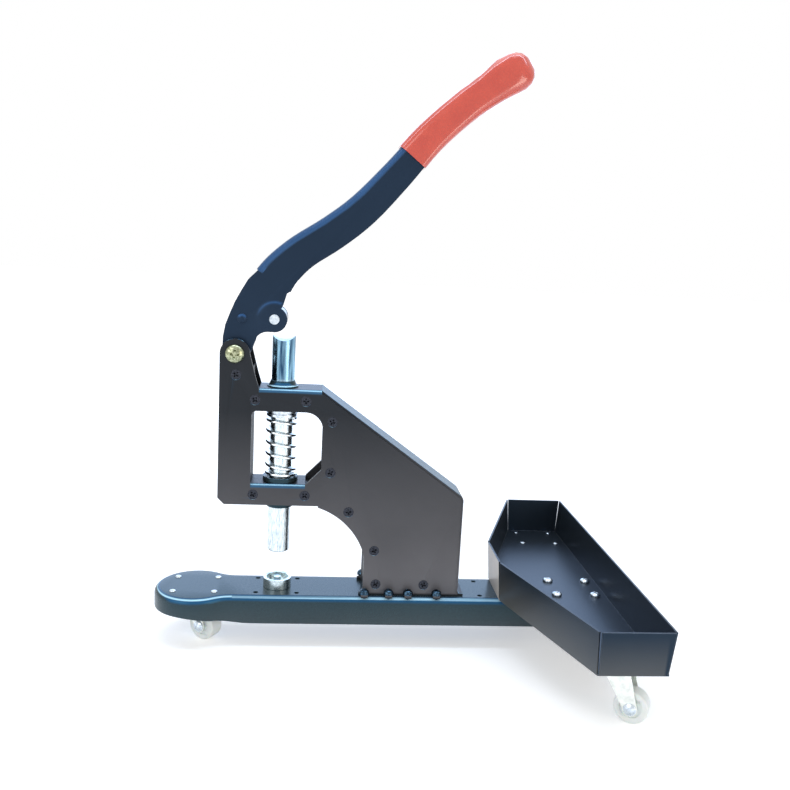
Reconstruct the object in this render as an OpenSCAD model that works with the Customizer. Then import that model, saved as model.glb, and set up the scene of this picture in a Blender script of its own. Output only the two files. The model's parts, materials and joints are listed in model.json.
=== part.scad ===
// Hand-lever eyelet press on three swivel casters, with a folded tray behind it.
// Millimetres. +X runs back from the nose to the tray, +Z is up, the floor is z = 0.
// Every piece is drawn about the ram's axis, then moved so that the origin lies under
// the middle of the whole machine.

/* [Base] */
// Height of the base's top face above the floor
base_top = 47; // [46:1:54]
// Width of the base channel
base_w = 52; // [51:1:60]
// Sheet thickness of the base channel
base_t = 2; // [1.5:0.25:2.5]
// Outer bend radius along the base's top edges
base_bend = 5; // [4:0.5:7]
// Depth of the base channel's sides
base_side_h = 25; // [20:1:27]
// Radius of the round nose
nose_r = 36; // [35:1:40]
// Distance from the ram's axis forward to the nose's centre
nose_x = 72.2; // [70:0.1:85]
// Radius of the hollow curve between the nose and the straight sides
neck_r = 27; // [20:1:32]
// Distance from the ram's axis back to the base's rear end
base_back = 298; // [296:1:301]
// Hole spacing of every four-hole pattern, along the machine
pattern_x = 36; // [35:0.5:38]
// Distance from the base's sides to the holes of every four-hole pattern
pattern_edge = 9.7; // [9:0.1:10]
// Diameter of the plain holes in the base
base_hole_d = 4.4; // [4:0.2:5]
// Distance from the ram's axis back to the spare hole pattern
rear_pattern_x = 201; // [199:1:204]

/* [Body] */
// Overall width of the body
body_w = 36; // [34:0.5:36.5]
// Thickness of the two side plates
plate_t = 3; // [2:0.5:4]
// Distance from the ram's axis forward to the column's front edge
column_front = 52.7; // [50:0.1:58]
// Distance from the ram's axis forward to the window's front edge
window_front = 25; // [23:0.5:27]
// Distance from the ram's axis back to the window's rear edge
window_back = 35.7; // [34:0.1:38]
// Height of the work gap under the lower arm
throat_h = 81; // [78:1:90]
// Depth of the lower arm
lower_arm_h = 18.6; // [17:0.2:22]
// Height of the window
window_h = 64.4; // [60:0.2:72]
// Depth of the upper arm
upper_arm_h = 19.4; // [17:0.2:23]
// Distance from the ram's axis back to the body's rear face
body_back = 162.4; // [156:0.2:168]
// Distance from the ram's axis back to where the slant leaves the upper arm
slant_start = 34; // [32:1:37]
// Height of the body's rear face
rear_h = 91.7; // [86:0.1:98]
// Radius of the rounded corner between the slant and the rear face
rear_corner_r = 7; // [5:1:10]
// Radius of the hollow throat curve
throat_r = 64; // [60:1:72]
// Distance from the ram's axis back to the foot's front edge
foot_front = 76.5; // [75:0.5:79]
// Height of the straight part of the foot's front edge
foot_h = 35; // [33:1:37]
// Distance from the ram's axis back to where the throat curve meets the lower arm
throat_start = 28.9; // [28:0.1:31]
// Sheet thickness of the rear cover and of the throat liner
cover_t = 2; // [1.5:0.25:2.5]
// How far the rear cover stops short of each side plate's outer face
cover_inset = 1; // [0.5:0.25:1.5]
// Bend radius where the side plates fold over the two arms
plate_bend = 4; // [3.5:0.5:5]
// Thickness of the ribs that hold the side plates apart
rib_w = 15; // [14:0.5:16]

/* [Lever] */
// Height of the lever's pivot above the upper arm's top face
pivot_rise = 28.9; // [28:0.1:30]
// Distance from the ram's axis forward to the lever's pivot
pivot_x = 40.1; // [39.6:0.1:40.8]
// Radius of the ears round the pivot
ear_r = 12.6; // [12:0.1:13]
// Diameter of the pivot bolt's shank
pivot_d = 8; // [6:1:9]
// Distance from the pivot to the roller's pin
roller_arm = 43.5; // [43:0.1:44]
// Angle of the roller's pin above the pivot with the lever up
roller_angle = 42.9; // [42.5:0.1:44]
// Radius of the roller that drives the ram
roller_r = 10.6; // [10:0.1:10.7]
// Diameter of the roller's pin
roller_pin_d = 8.6; // [7:0.2:9]
// Overall width of the lever channel
lever_w = 24; // [22:1:26]
// Sheet thickness of the lever channel
lever_t = 2.5; // [2:0.25:3]
// Reach of the lever from its pivot back to the grip's tip
lever_reach = 239; // [230:1:250]
// Rise of the lever from its pivot up to the grip's tip
lever_rise = 257.5; // [245:0.5:270]
// Depth of the lever channel where it is slimmest
lever_depth = 26.4; // [25:0.2:28]
// Bend radius along the lever channel's back
lever_bend = 6; // [4:0.5:7]
// Thickness of the dipped grip
grip_t = 1.2; // [1:0.1:2]

/* [Ram] */
// Diameter of the ram
ram_d = 20; // [18:1:20]
// Height of the ram's lower end above the base with the lever up
ram_gap = 35; // [34:0.5:40]
// Height of the ram's upper end above the upper arm's top face
ram_rise = 44.6; // [43:0.1:44.8]
// Radius of the hollow seat across the ram's top
saddle_r = 14; // [13.5:0.1:15]
// Depth of the hollow seat across the ram's top
saddle_dip = 4.4; // [4:0.1:5]
// Diameter of the die socket in the ram's lower end
socket_d = 8; // [6:1:10]
// Depth of the die socket in the ram's lower end
socket_depth = 18; // [14:1:24]
// Radial running clearance of the ram in its bushes
ram_fit = 0.05; // [0.03:0.01:0.08]
// Wire diameter of the return spring
spring_wire = 2.6; // [2:0.1:3]
// Outer diameter of the return spring
spring_d = 28; // [27.5:0.5:30]
// Number of open curls in the return spring
spring_turns = 4.5; // [3.5:0.5:5]

/* [Dies] */
// Diameter of the lower die
die_d = 25; // [22:0.5:27]
// Height of the lower die above the base
die_h = 9; // [8:0.5:11]
// Diameter of the recess in the lower die's face
die_recess_d = 19; // [15:0.5:20]
// Depth of the recess in the lower die's face
die_recess_h = 4; // [3:0.5:5]
// Diameter of the post in the lower die's recess
die_post_d = 6.5; // [5:0.5:8]

/* [Tray] */
// Distance from the ram's axis back to the tray's long rear edge, at its floor
tray_back = 301.7; // [301.5:0.1:306]
// Distance from the ram's axis back to the tray's short front edge, at its floor
tray_front = 199; // [197:1:202]
// Distance from the ram's axis back to where the tray's slanted edges meet its ends
tray_shoulder = 246; // [240:1:249]
// Length of the tray across the machine, at its floor
tray_len = 324; // [320:2:350]
// Length of the tray's short front edge
tray_nose_len = 52; // [46:1:60]
// Height of the tray's walls
tray_wall_h = 36; // [28:1:45]
// Sheet thickness of the tray
tray_t = 1.5; // [1:0.25:2]
// Outward lean of the tray's walls
tray_flare = 4.5; // [2:0.5:7]
// Distance from the ram's axis back to the tray's bolts
tray_bolt_x = 272.4; // [270:0.1:275]
// Distance from each end of the tray to its caster
tray_caster_edge = 24.7; // [23.5:0.1:34]

/* [Casters] */
// Diameter of the caster wheels
wheel_d = 27; // [24:0.5:27.5]
// Width of the caster wheels
wheel_w = 13; // [11:0.5:13.5]
// Trail of each wheel behind its swivel
caster_trail = 12; // [11:0.5:13]
// Diameter of the caster axles
axle_d = 5; // [4:0.5:6]
// Turn of the nose caster as it stands
nose_turn = -35; // [-60:5:60]
// Turn of the near tray caster as it stands
near_turn = -30; // [-60:5:60]
// Turn of the far tray caster as it stands
far_turn = 30; // [-60:5:60]

/* [Hidden] */

$fn = 48;
fine = 96;
// Overrun of every cut past the face it opens
cut = 1;
// Radial clearance of a fastener in its hole
hole_fit = 0.1;
// Radial clearance of a piece that turns on another
turn_fit = 0.05;
// Gap between a moving piece and what it passes
run_gap = 0.4;

base_half = base_w / 2;
pattern_y = base_w - 2 * pattern_edge;
tray_half = tray_len / 2;
tray_caster_y = tray_half - tray_caster_edge;
body_half = body_w / 2;
core_w = body_w - 2 * plate_t;
arm_under = base_top + throat_h;
window_low = arm_under + lower_arm_h;
window_high = window_low + window_h;
arm_top = window_high + upper_arm_h;
pivot_z = arm_top + pivot_rise;
pin_x = -pivot_x + roller_arm * cos(roller_angle);
pin_z = pivot_z + roller_arm * sin(roller_angle);
ram_r = ram_d / 2;
ram_low = base_top + ram_gap;
ram_high = arm_top + ram_rise;
nose_reach = nose_x + nose_r;
tray_reach = tray_back + tray_wall_h * sin(tray_flare);
middle_x = (tray_reach - nose_reach) / 2;

// Fasteners
plate_screw_d = 5;
plate_screw_head_d = 9;
plate_screw_cone = 2.4;
plate_screw_l = 12;
foot_screw_d = 3.4;
foot_screw_head_d = 8.4;
foot_screw_head_h = 4.6;
foot_screw_l = 9;
pivot_head_d = 16;
pivot_head_h = 5;
pivot_nut_w = 13;
pivot_nut_h = 6.5;
tray_bolt_d = 5;
tray_bolt_head_d = 9.4;
tray_bolt_head_h = 3.4;
tray_nut_w = 8;
tray_nut_h = 4;
rivet_d = 4;
rivet_head_d = 5.6;
rivet_head_h = 1.2;
die_stem_d = 6;
die_nut_w = 10;
die_nut_h = 5;
thread_end = 1.5;
recess_span_share = 0.56;
recess_width_share = 0.25;
recess_depth_share = 0.4;
head_edge_share = 0.3;

module placed() {
    translate([-middle_x, 0, 0]) children();
}

// A shape drawn in x and z, thick along y and centred on y = 0
module upright(thick) {
    rotate([90, 0, 0]) translate([0, 0, -thick / 2]) linear_extrude(thick) children();
}

// The four places of a hole pattern
module at_pattern(x = 0, y = 0) {
    for (sx = [-1, 1], sy = [-1, 1])
        translate([x + sx * pattern_x / 2, y + sy * pattern_y / 2, 0]) children();
}

// Cross recess in a screw head whose face is at z = 0
module cross_recess(span, depth) {
    slot = span * recess_width_share;
    for (turn = [0, 90])
        rotate(turn) translate([-span / 2, -slot / 2, -depth]) cube([span, slot, depth + cut]);
}

// Radius of the circle through a chord's ends and its crown
function dome_radius(half, rise) = (half * half + rise * rise) / (2 * rise);

// Domed head standing on z = 0
module dome_head(head_d, head_h) {
    ball = dome_radius(head_d / 2, head_h * (1 - head_edge_share));
    intersection() {
        cylinder(d = head_d, h = head_h);
        translate([0, 0, head_h - ball]) sphere(ball);
    }
}

// Pan-head screw whose head stands on z = 0, with its shank downwards
module pan_screw(head_d, head_h, shank_d, shank_l) {
    difference() {
        union() {
            dome_head(head_d, head_h);
            translate([0, 0, -shank_l]) cylinder(d = shank_d, h = shank_l + head_h / 2);
        }
        translate([0, 0, head_h])
            cross_recess(head_d * recess_span_share, head_h * recess_depth_share);
    }
}

// Rivet with a domed head on z = 0 and another under what it holds
module rivet(grip_l) {
    dome_head(rivet_head_d, rivet_head_h);
    translate([0, 0, -grip_l]) {
        cylinder(d = rivet_d, h = grip_l + rivet_head_h / 2);
        rotate([180, 0, 0]) dome_head(rivet_head_d, rivet_head_h);
    }
}

// Hexagonal nut standing on z = 0
module hex_nut(flats, height, thread_d) {
    difference() {
        cylinder(d = flats / cos(30), h = height, $fn = 6);
        translate([0, 0, -cut]) cylinder(d = thread_d + 2 * hole_fit, h = height + 2 * cut);
    }
}

function reversed(list) = [for (i = [len(list) - 1:-1:0]) list[i]];

// Skin over a row of rings, each with the same even number of points
module skin(rings) {
    n = len(rings[0]);
    last = (len(rings) - 1) * n;
    sides = [for (i = [0:len(rings) - 2], j = [0:n - 1])
        let (a = i * n + j, b = i * n + (j + 1) % n) each [[a, b, b + n], [a, b + n, a + n]]];
    start = [for (k = [0:n / 2 - 2]) each [[k, n - 2 - k, k + 1], [k, n - 1 - k, n - 2 - k]]];
    finish = [for (f = start) [f[0] + last, f[2] + last, f[1] + last]];
    polyhedron([for (ring = rings) each ring], concat(sides, start, finish));
}

// Base channel, whose straight sides meet the round nose in two hollow curves
neck_x = -nose_x + sqrt(pow(nose_r + neck_r, 2) - pow(base_half + neck_r, 2));
neck_y = base_half + neck_r;
neck_angle = atan2(neck_y, neck_x + nose_x);

// Stations along the base's edge, each a place and the direction that points into the base
nose_steps = 48;
neck_steps = 7;
function around(centre, r, a, into) = [centre + r * [cos(a), sin(a)], into * [cos(a), sin(a)]];
NEAR_EDGE = concat([[[base_back, -base_half], [0, 1]]],
    [for (i = [0:neck_steps])
        around([neck_x, -neck_y], neck_r, 90 + i / neck_steps * (90 - neck_angle), 1)]);
NOSE_EDGE = [for (i = [1:nose_steps - 1])
    around([-nose_x, 0], nose_r, neck_angle + i / nose_steps * (360 - 2 * neck_angle), -1)];
FAR_EDGE = [for (e = NEAR_EDGE) [for (v = e) [v[0], -v[1]]]];
EDGE = concat(FAR_EDGE, NOSE_EDGE, reversed(NEAR_EDGE));
edge_turns = [0, 18, 36, 54, 72, 90];
edge_reach = base_bend + base_t;

// Points of the bend in the sheet, at a radius about the bend's centre
function bend_points(r) = [for (a = edge_turns)
    [base_bend - r * cos(a), r * sin(a) - base_bend]];
// The sheet's section, from its outer foot over the bend and back to its inner foot
function sheet_section() = concat([[0, -base_side_h]], bend_points(base_bend),
    [[edge_reach, 0], [edge_reach, -base_t]], reversed(bend_points(base_bend - base_t)),
    [[base_t, -base_side_h]]);
function edge_ring(station) = [for (p = sheet_section())
    concat(station[0] + p[0] * station[1], base_top + p[1])];

module base_sheet() {
    skin([for (e = EDGE) edge_ring(e)]);
    translate([0, 0, base_top - base_t]) linear_extrude(base_t)
        polygon([for (e = EDGE) e[0] + (edge_reach - base_t / 2) * e[1]]);
}

// Row of screws through the side plates' foot flanges
foot_len = body_back - foot_front;
foot_screw_shares = [0.015, 0.267, 0.468, 0.767];
FOOT_SCREWS = [for (s = foot_screw_shares) foot_front + s * foot_len];
foot_screw_y = body_half + foot_screw_head_d / 2 + run_gap;

module foot_screw_places() {
    for (x = FOOT_SCREWS, side = [-1, 1])
        translate([x, side * foot_screw_y, base_top + plate_t]) children();
}

module foot_screw_holes() {
    foot_screw_places() translate([0, 0, -foot_screw_l - hole_fit])
        cylinder(d = foot_screw_d + 2 * hole_fit, h = foot_screw_l + cut);
}

module base_shell() {
    color("#3f4a57") placed() difference() {
        base_sheet();
        translate([0, 0, base_top - base_t - cut]) {
            at_pattern(-nose_x) cylinder(d = rivet_d + 2 * hole_fit, h = base_t + 2 * cut);
            at_pattern() cylinder(d = base_hole_d, h = base_t + 2 * cut);
            at_pattern(rear_pattern_x) cylinder(d = base_hole_d, h = base_t + 2 * cut);
            at_pattern(tray_bolt_x) cylinder(d = tray_bolt_d + 2 * hole_fit, h = base_t + 2 * cut);
            cylinder(d = die_stem_d + 2 * hole_fit, h = base_t + 2 * cut);
        }
        foot_screw_holes();
    }
}

// Body outline in x and z
slant_run = body_back - slant_start;
slant_fall = arm_top - base_top - rear_h;
slant_angle = atan2(slant_fall, slant_run);
corner_c = [body_back - rear_corner_r,
    base_top + rear_h - rear_corner_r * tan((90 - slant_angle) / 2)];
slant_normal = [sin(slant_angle), cos(slant_angle)];

// Everything under the slant and in front of the rear face, moved inwards by a given amount,
// and carried on past the slant's start and the base's top by another
module slant_side(inward, over = 0) {
    r = rear_corner_r - inward;
    back = body_back - inward;
    under = inward / cos(slant_angle);
    difference() {
        polygon([
            [slant_start - over, arm_top - under + over * tan(slant_angle)],
            [back, arm_top - under - (back - slant_start) * tan(slant_angle)],
            [back, base_top - over], [slant_start - over, base_top - over]]);
        difference() {
            polygon([corner_c, corner_c + (r + cut) * slant_normal,
                corner_c + (r + cut) * [1, 1], corner_c + [r + cut, 0]]);
            translate(corner_c) circle(r);
        }
    }
}

throat_span = [foot_front - throat_start, throat_h - foot_h];
throat_chord = norm(throat_span);
throat_depth = sqrt(pow(throat_r, 2) - pow(throat_chord / 2, 2));
throat_c = [throat_start, base_top + foot_h] + throat_span / 2
    - throat_depth * [throat_span[1], throat_span[0]] / throat_chord;

// The open space in front of the foot, grown backwards by a given amount
module throat_zone(grow = 0) {
    front = -column_front - cut;
    low = base_top - cut;
    intersection() {
        translate(throat_c) circle(throat_r + grow, $fn = fine);
        translate([front, low]) square([foot_front + grow - front, 2 * throat_h]);
    }
    translate([front, low]) square([foot_front + grow - front, throat_c[1] - low]);
}

// What the throat takes away from the side plates, up to the lower arm
module throat_cut() {
    front = -column_front - cut;
    intersection() {
        throat_zone();
        translate([front, base_top - cut]) square([foot_front - front + cut, throat_h + cut]);
    }
    translate([front, base_top - cut]) square([throat_c[0] - front, throat_h + cut]);
}

// A band that follows the throat's curve and its foot, from one depth behind the edge to
// another, down to a given height
module throat_band(from_depth, to_depth, down_to) {
    intersection() {
        difference() {
            throat_zone(to_depth);
            throat_zone(from_depth);
        }
        translate([throat_start, down_to]) square([foot_len, 2 * throat_h]);
    }
}

window_r_share = 0.42;
window_r = window_back * window_r_share;
slope_x_share = 0.62;
slope_x = window_back * slope_x_share;
slope_h_share = 0.37;
slope_h = window_h * slope_h_share;

module window_shape() {
    difference() {
        translate([-window_front, window_low]) square([window_front + window_back, window_h]);
        difference() {
            translate([window_back - window_r, window_high - window_r]) square(window_r + cut);
            translate([window_back - window_r, window_high - window_r]) circle(window_r);
        }
        difference() {
            translate([-window_front - cut, window_high - plate_bend]) square(plate_bend + cut);
            translate([-window_front + plate_bend, window_high - plate_bend]) circle(plate_bend);
        }
        polygon([[slope_x, window_low], [window_back, window_low + slope_h],
            [window_back + cut, window_low + slope_h], [window_back + cut, window_low - cut],
            [slope_x, window_low - cut]]);
    }
}

arm_corner_share = 0.3;
arm_corner = lower_arm_h * arm_corner_share;
ear_foot_share = 0.56;
ear_foot_x = -pivot_x * ear_foot_share;
ear_foot_h_share = 0.33;
ear_foot_z = arm_top + pivot_rise * ear_foot_h_share;
flange_front = ear_foot_x + plate_t;

module body_outline() {
    difference() {
        union() {
            polygon([[slant_start, arm_under], [-column_front + arm_corner, arm_under],
                [-column_front, arm_under + arm_corner], [-column_front, pivot_z],
                [-pivot_x + ear_r, pivot_z], [ear_foot_x, ear_foot_z],
                [flange_front, arm_top], [slant_start, arm_top]]);
            translate([-pivot_x, pivot_z]) circle(ear_r);
            slant_side(cover_t);
        }
        throat_cut();
        window_shape();
    }
}

// How far ribs and the liner lie behind the side plates' edges
band_inset = 0.5;

// Screws through each side plate, as places in x and z
rib_r = throat_r + band_inset + cover_t + rib_w / 2;
rib_screw_angles = [51.3, 17.8];
foot_side_shares = [0.132, 0.633];
foot_side_z_share = 0.123;
column_mid = (column_front + window_front) / 2;
window_rib_x = window_back + band_inset;
PLATE_SCREWS = concat(
    [[-column_mid, pivot_z - ear_r - plate_screw_d]],
    [for (x = [-window_front + plate_screw_d / 2, window_back - window_r])
        [x, window_high + upper_arm_h / 2]],
    [for (x = [-window_front + plate_screw_d / 2, slope_x]) [x, arm_under + lower_arm_h / 2]],
    [for (z = [window_high - window_r / 2, window_low + slope_h / 2])
        [window_rib_x + rib_w / 2, z]],
    [for (a = rib_screw_angles) throat_c + rib_r * [cos(a), sin(a)]],
    [for (s = foot_side_shares)
        [foot_front + s * foot_len, base_top + throat_h * foot_side_z_share]]);

// Countersunk screw, or its hole when grown, with its head's face at z = 0
module plate_screw(grow = 0) {
    shank_r = plate_screw_d / 2 + grow;
    head_r = plate_screw_head_d / 2 + grow;
    translate([0, 0, -plate_screw_cone]) cylinder(r1 = shank_r, r2 = head_r, h = plate_screw_cone);
    translate([0, 0, -plate_screw_l - grow]) cylinder(r = shank_r, h = plate_screw_l);
}

// Both sides' screw places, with +Z pointing out of the side plate
module screw_places() {
    for (side = [-1, 1], p = PLATE_SCREWS)
        translate([p[0], side * body_half, p[1]]) rotate([-side * 90, 0, 0]) children();
}

module screw_holes() {
    screw_places() {
        plate_screw(hole_fit);
        cylinder(r = plate_screw_head_d / 2 + hole_fit, h = cut);
    }
}

// Flange folded over an arm from x to x, its top face at a given height
module flange(from_x, to_x, top) {
    translate([from_x, -body_half, top - plate_t])
        cube([to_x - from_x, body_half - hole_fit, plate_t]);
}

// What rounds the fold's outer edge
module fold_edge(from_x, to_x, top) {
    translate([from_x, -body_half, top]) rotate([90, 0, 90]) linear_extrude(to_x - from_x)
        difference() {
            translate([-cut, -plate_bend]) square(plate_bend + cut);
            translate([plate_bend, -plate_bend]) circle(plate_bend);
        }
}

bush_wall = 2;
bush_r = ram_r + bush_wall;
bush_hole_r = bush_r + hole_fit;
foot_flange_front = FOOT_SCREWS[0] - foot_screw_head_d / 2 - 2 * run_gap;

// Side plate for the near side, y negative
module side_plate() {
    difference() {
        union() {
            translate([0, -body_half + plate_t / 2, 0]) upright(plate_t) body_outline();
            flange(flange_front, slant_start, arm_top);
            flange(-window_front, slope_x, window_low);
            translate([foot_flange_front, -base_half, base_top]) cube([
                body_back - foot_flange_front, base_half - body_half + cover_inset / 2, plate_t]);
        }
        fold_edge(flange_front, slant_start, arm_top);
        fold_edge(-window_front, slope_x, window_low);
        screw_holes();
        foot_screw_holes();
        translate([-pivot_x, 0, pivot_z]) rotate([90, 0, 0])
            cylinder(r = pivot_d / 2 + hole_fit, h = body_half + cut);
        translate([0, 0, arm_under]) cylinder(r = bush_hole_r, h = arm_top);
    }
}

module side_plate_near() {
    color("#33363d") placed() side_plate();
}

module side_plate_far() {
    color("#33363d") placed() mirror([0, 1, 0]) side_plate();
}

// Blocks and ribs between the side plates
heel_share = 0.257;
heel_r = roller_arm * heel_share;
column_high = pivot_z - heel_r - 2 * run_gap;

module block() {
    difference() {
        upright(core_w) children();
        screw_holes();
        translate([0, 0, arm_under - cut])
            cylinder(r = bush_hole_r, h = arm_top - arm_under + 2 * cut);
    }
}

module column_block() {
    color("#2c2e33") placed() block() polygon([[-window_front, arm_under + band_inset],
        [-column_front + arm_corner, arm_under + band_inset],
        [-column_front + band_inset, arm_under + arm_corner],
        [-column_front + band_inset, column_high], [-window_front, column_high]]);
}

module upper_guide_block() {
    color("#2c2e33") placed() block() translate([-window_front, window_high])
        square([window_front + slant_start, upper_arm_h - plate_t]);
}

module lower_guide_block() {
    color("#2c2e33") placed() block() translate([-window_front, arm_under + band_inset])
        square([window_front + throat_start, lower_arm_h - plate_t - band_inset]);
}

// Height of the window rib's top, a little under the rear cover
cover_gap = 0.05;
function under_slant(x) = arm_top - (x - slant_start) * tan(slant_angle)
    - (cover_t + cover_gap) / cos(slant_angle);

module window_rib() {
    far_x = window_rib_x + rib_w;
    color("#2c2e33") placed() block() polygon([[window_rib_x, window_low + cover_t],
        [far_x, window_low + cover_t], [far_x, under_slant(far_x)],
        [window_rib_x, under_slant(window_rib_x)]]);
}

module throat_liner() {
    color("#22252b") placed() upright(core_w)
        throat_band(band_inset, band_inset + cover_t, base_top);
}

foot_block_share = 0.235;
foot_block_high = base_top + throat_h * foot_block_share;

module throat_rib() {
    color("#2c2e33") placed() block()
        throat_band(band_inset + cover_t, band_inset + cover_t + rib_w, foot_block_high);
}

liner_back = foot_front + band_inset + cover_t;

module foot_block() {
    color("#2c2e33") placed() block() translate([liner_back, base_top])
        square([body_back - cover_t - liner_back, foot_block_high - base_top]);
}

cover_tab = 5;

// Rear cover's profile: the slant, the rear face and the tab turned out on the base
module cover_profile() {
    bend = 2 * cover_t;
    bend_c = [body_back - cover_t + bend, base_top + bend];
    intersection() {
        translate([slant_start, base_top])
            square([slant_run + cover_tab + cut, arm_top - base_top + cut]);
        difference() {
            union() {
                slant_side(0, cut);
                translate([body_back - bend, base_top - 3 * cut])
                    square([bend + cover_tab, bend + 3 * cut]);
            }
            slant_side(cover_t, 2 * cut);
            translate(bend_c) circle(bend - cover_t);
            translate([bend_c[0], base_top + cover_t]) square(cover_tab + bend);
            difference() {
                translate(bend_c - [bend + cut, bend + 4 * cut]) square([bend + cut, bend + 4 * cut]);
                translate(bend_c) circle(bend);
            }
        }
    }
}

module rear_cover() {
    color("#22252b") placed() upright(body_w - 2 * cover_inset) cover_profile();
}

// Bushes
collar_h = 5.5;
collar_r_share = 1.35;
collar_r = ram_r * collar_r_share;
collar_neck = 0.75;
collar_foot = 1;
flare_w = collar_r - ram_r - collar_neck;
seat_h = 4;
seat_r = spring_d / 2 + spring_wire / 2;
lip_h = 3;
lip_inset = 0.5;

module upper_bush() {
    flare_r = dome_radius(collar_h - collar_foot, flare_w);
    color("#26282d") placed() difference() {
        union() {
            translate([0, 0, window_high]) cylinder(r = bush_r, h = upper_arm_h);
            translate([0, 0, arm_top]) rotate_extrude($fn = fine) difference() {
                square([collar_r, collar_h]);
                translate([collar_r - flare_w + flare_r, collar_h]) circle(flare_r, $fn = fine);
            }
        }
        translate([0, 0, window_high - cut])
            cylinder(r = ram_r + ram_fit, h = upper_arm_h + collar_h + 2 * cut);
    }
}

module lower_bush() {
    color("#26282d") placed() difference() {
        union() {
            translate([0, 0, arm_under - lip_h]) cylinder(r = bush_r - lip_inset, h = lip_h);
            translate([0, 0, arm_under]) cylinder(r = bush_r, h = lower_arm_h);
            translate([0, 0, window_low]) cylinder(r = seat_r, h = seat_h);
        }
        translate([0, 0, arm_under - lip_h - cut])
            cylinder(r = ram_r + ram_fit, h = lip_h + lower_arm_h + seat_h + 2 * cut);
    }
}

module plate_screws() {
    color("#1b1d21") placed() screw_places() difference() {
        plate_screw();
        cross_recess(plate_screw_head_d * recess_span_share, plate_screw_cone * recess_depth_share);
    }
}

module foot_screws() {
    color("#1f2630") placed() foot_screw_places()
        pan_screw(foot_screw_head_d, foot_screw_head_h, foot_screw_d, foot_screw_l);
}

module pivot_bolt() {
    color("#c9b56a") placed() translate([-pivot_x, -body_half, pivot_z]) rotate([90, 0, 0])
        pan_screw(pivot_head_d, pivot_head_h, pivot_d, body_w + pivot_nut_h + thread_end);
}

module pivot_nut() {
    color("#c9b56a") placed() translate([-pivot_x, body_half, pivot_z]) rotate([-90, 0, 0])
        hex_nut(pivot_nut_w, pivot_nut_h, pivot_d);
}

// Sleeve that the lever turns on, held between the ears by the pivot bolt
sleeve_wall = 2.9;
sleeve_r = pivot_d / 2 + hole_fit + sleeve_wall;

module pivot_sleeve() {
    color("#9a9da1") placed() translate([-pivot_x, 0, pivot_z]) difference() {
        upright(core_w) circle(sleeve_r);
        upright(core_w + 2 * cut) circle(pivot_d / 2 + hole_fit);
    }
}

// Lower die with its post in the recess and a threaded stem through the base
module lower_die() {
    stem_l = base_t + die_nut_h + thread_end;
    color("#8f9296") placed() translate([0, 0, base_top]) {
        difference() {
            cylinder(d = die_d, h = die_h);
            translate([0, 0, die_h - die_recess_h]) cylinder(d = die_recess_d, h = die_recess_h + cut);
        }
        translate([0, 0, die_h - die_recess_h - cut]) cylinder(d = die_post_d, h = die_recess_h + cut);
        translate([0, 0, -stem_l]) cylinder(d = die_stem_d, h = stem_l + die_h / 2);
    }
}

module die_nut() {
    color("#8f9296") placed() translate([0, 0, base_top - base_t - die_nut_h])
        hex_nut(die_nut_w, die_nut_h, die_stem_d);
}

// Ram: round bar with a die socket below and a hollow seat across its top
ram_edge = 0.8;

module ram() {
    color("#aeb6bd") placed() difference() {
        rotate_extrude() polygon([[socket_d / 2, ram_low], [ram_r - ram_edge, ram_low],
            [ram_r, ram_low + ram_edge], [ram_r, ram_high], [0, ram_high],
            [0, ram_low + socket_depth], [socket_d / 2, ram_low + socket_depth]]);
        translate([0, 0, ram_high - saddle_dip + saddle_r]) rotate([90, 0, 0])
            cylinder(r = saddle_r, h = ram_d + 2 * cut, center = true, $fn = fine);
    }
}

ram_collar_h = 6;
ram_collar_r = spring_d / 2 - lip_inset;
ram_collar_low = window_high - run_gap - ram_collar_h;
collar_groove = 1;

module ram_collar() {
    color("#b9bfc4") placed() translate([0, 0, ram_collar_low]) difference() {
        cylinder(r = ram_collar_r, h = ram_collar_h);
        translate([0, 0, -cut]) cylinder(r = ram_r + ram_fit, h = ram_collar_h + 2 * cut);
        translate([0, 0, (ram_collar_h - collar_groove) / 2]) difference() {
            cylinder(r = ram_collar_r + cut, h = collar_groove);
            translate([0, 0, -cut])
                cylinder(r = ram_collar_r - collar_groove, h = collar_groove + 2 * cut);
        }
    }
}

// Return spring. Its path is kept as turn, height and slope on a cylinder round the ram
spring_gap = 0.3;
spring_path_r = spring_d / 2 - spring_wire / 2;
spring_low = window_low + seat_h + spring_gap;
spring_high = ram_collar_low - spring_gap;
spring_bend_share = 0.8;
spring_bend = spring_wire * spring_bend_share;
curl_rings = 8;
wire_sides = 6;
spring_round = 2 * PI * spring_path_r;
spring_rise = spring_high - spring_low - 2 * (spring_wire + spring_bend);
spring_turn_part = spring_turns * spring_round;
spring_slope = atan(spring_rise / spring_turn_part);
bend_steps = 3;
spring_count = round(spring_turns * curl_rings);
function spring_foot(k) = let (a = 90 - k / bend_steps * (90 - spring_slope))
    [spring_bend * (1 - sin(a)), spring_wire + spring_bend * cos(a), a];
spring_foot_end = spring_foot(bend_steps);
spring_level = spring_high - spring_low - 2 * spring_foot_end[1];
SPRING_PATH = concat(
    [[0, 0, 90]],
    [for (k = [0:bend_steps]) spring_foot(k)],
    [for (i = [1:spring_count - 1]) [spring_foot_end[0] + i / spring_count * spring_turn_part,
        spring_foot_end[1] + i / spring_count * spring_level, spring_slope]],
    [for (k = [bend_steps:-1:0]) let (f = spring_foot(k))
        [2 * spring_foot_end[0] + spring_turn_part - f[0], spring_high - spring_low - f[1], f[2]]],
    [[2 * spring_foot_end[0] + spring_turn_part, spring_high - spring_low, 90]]);

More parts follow.
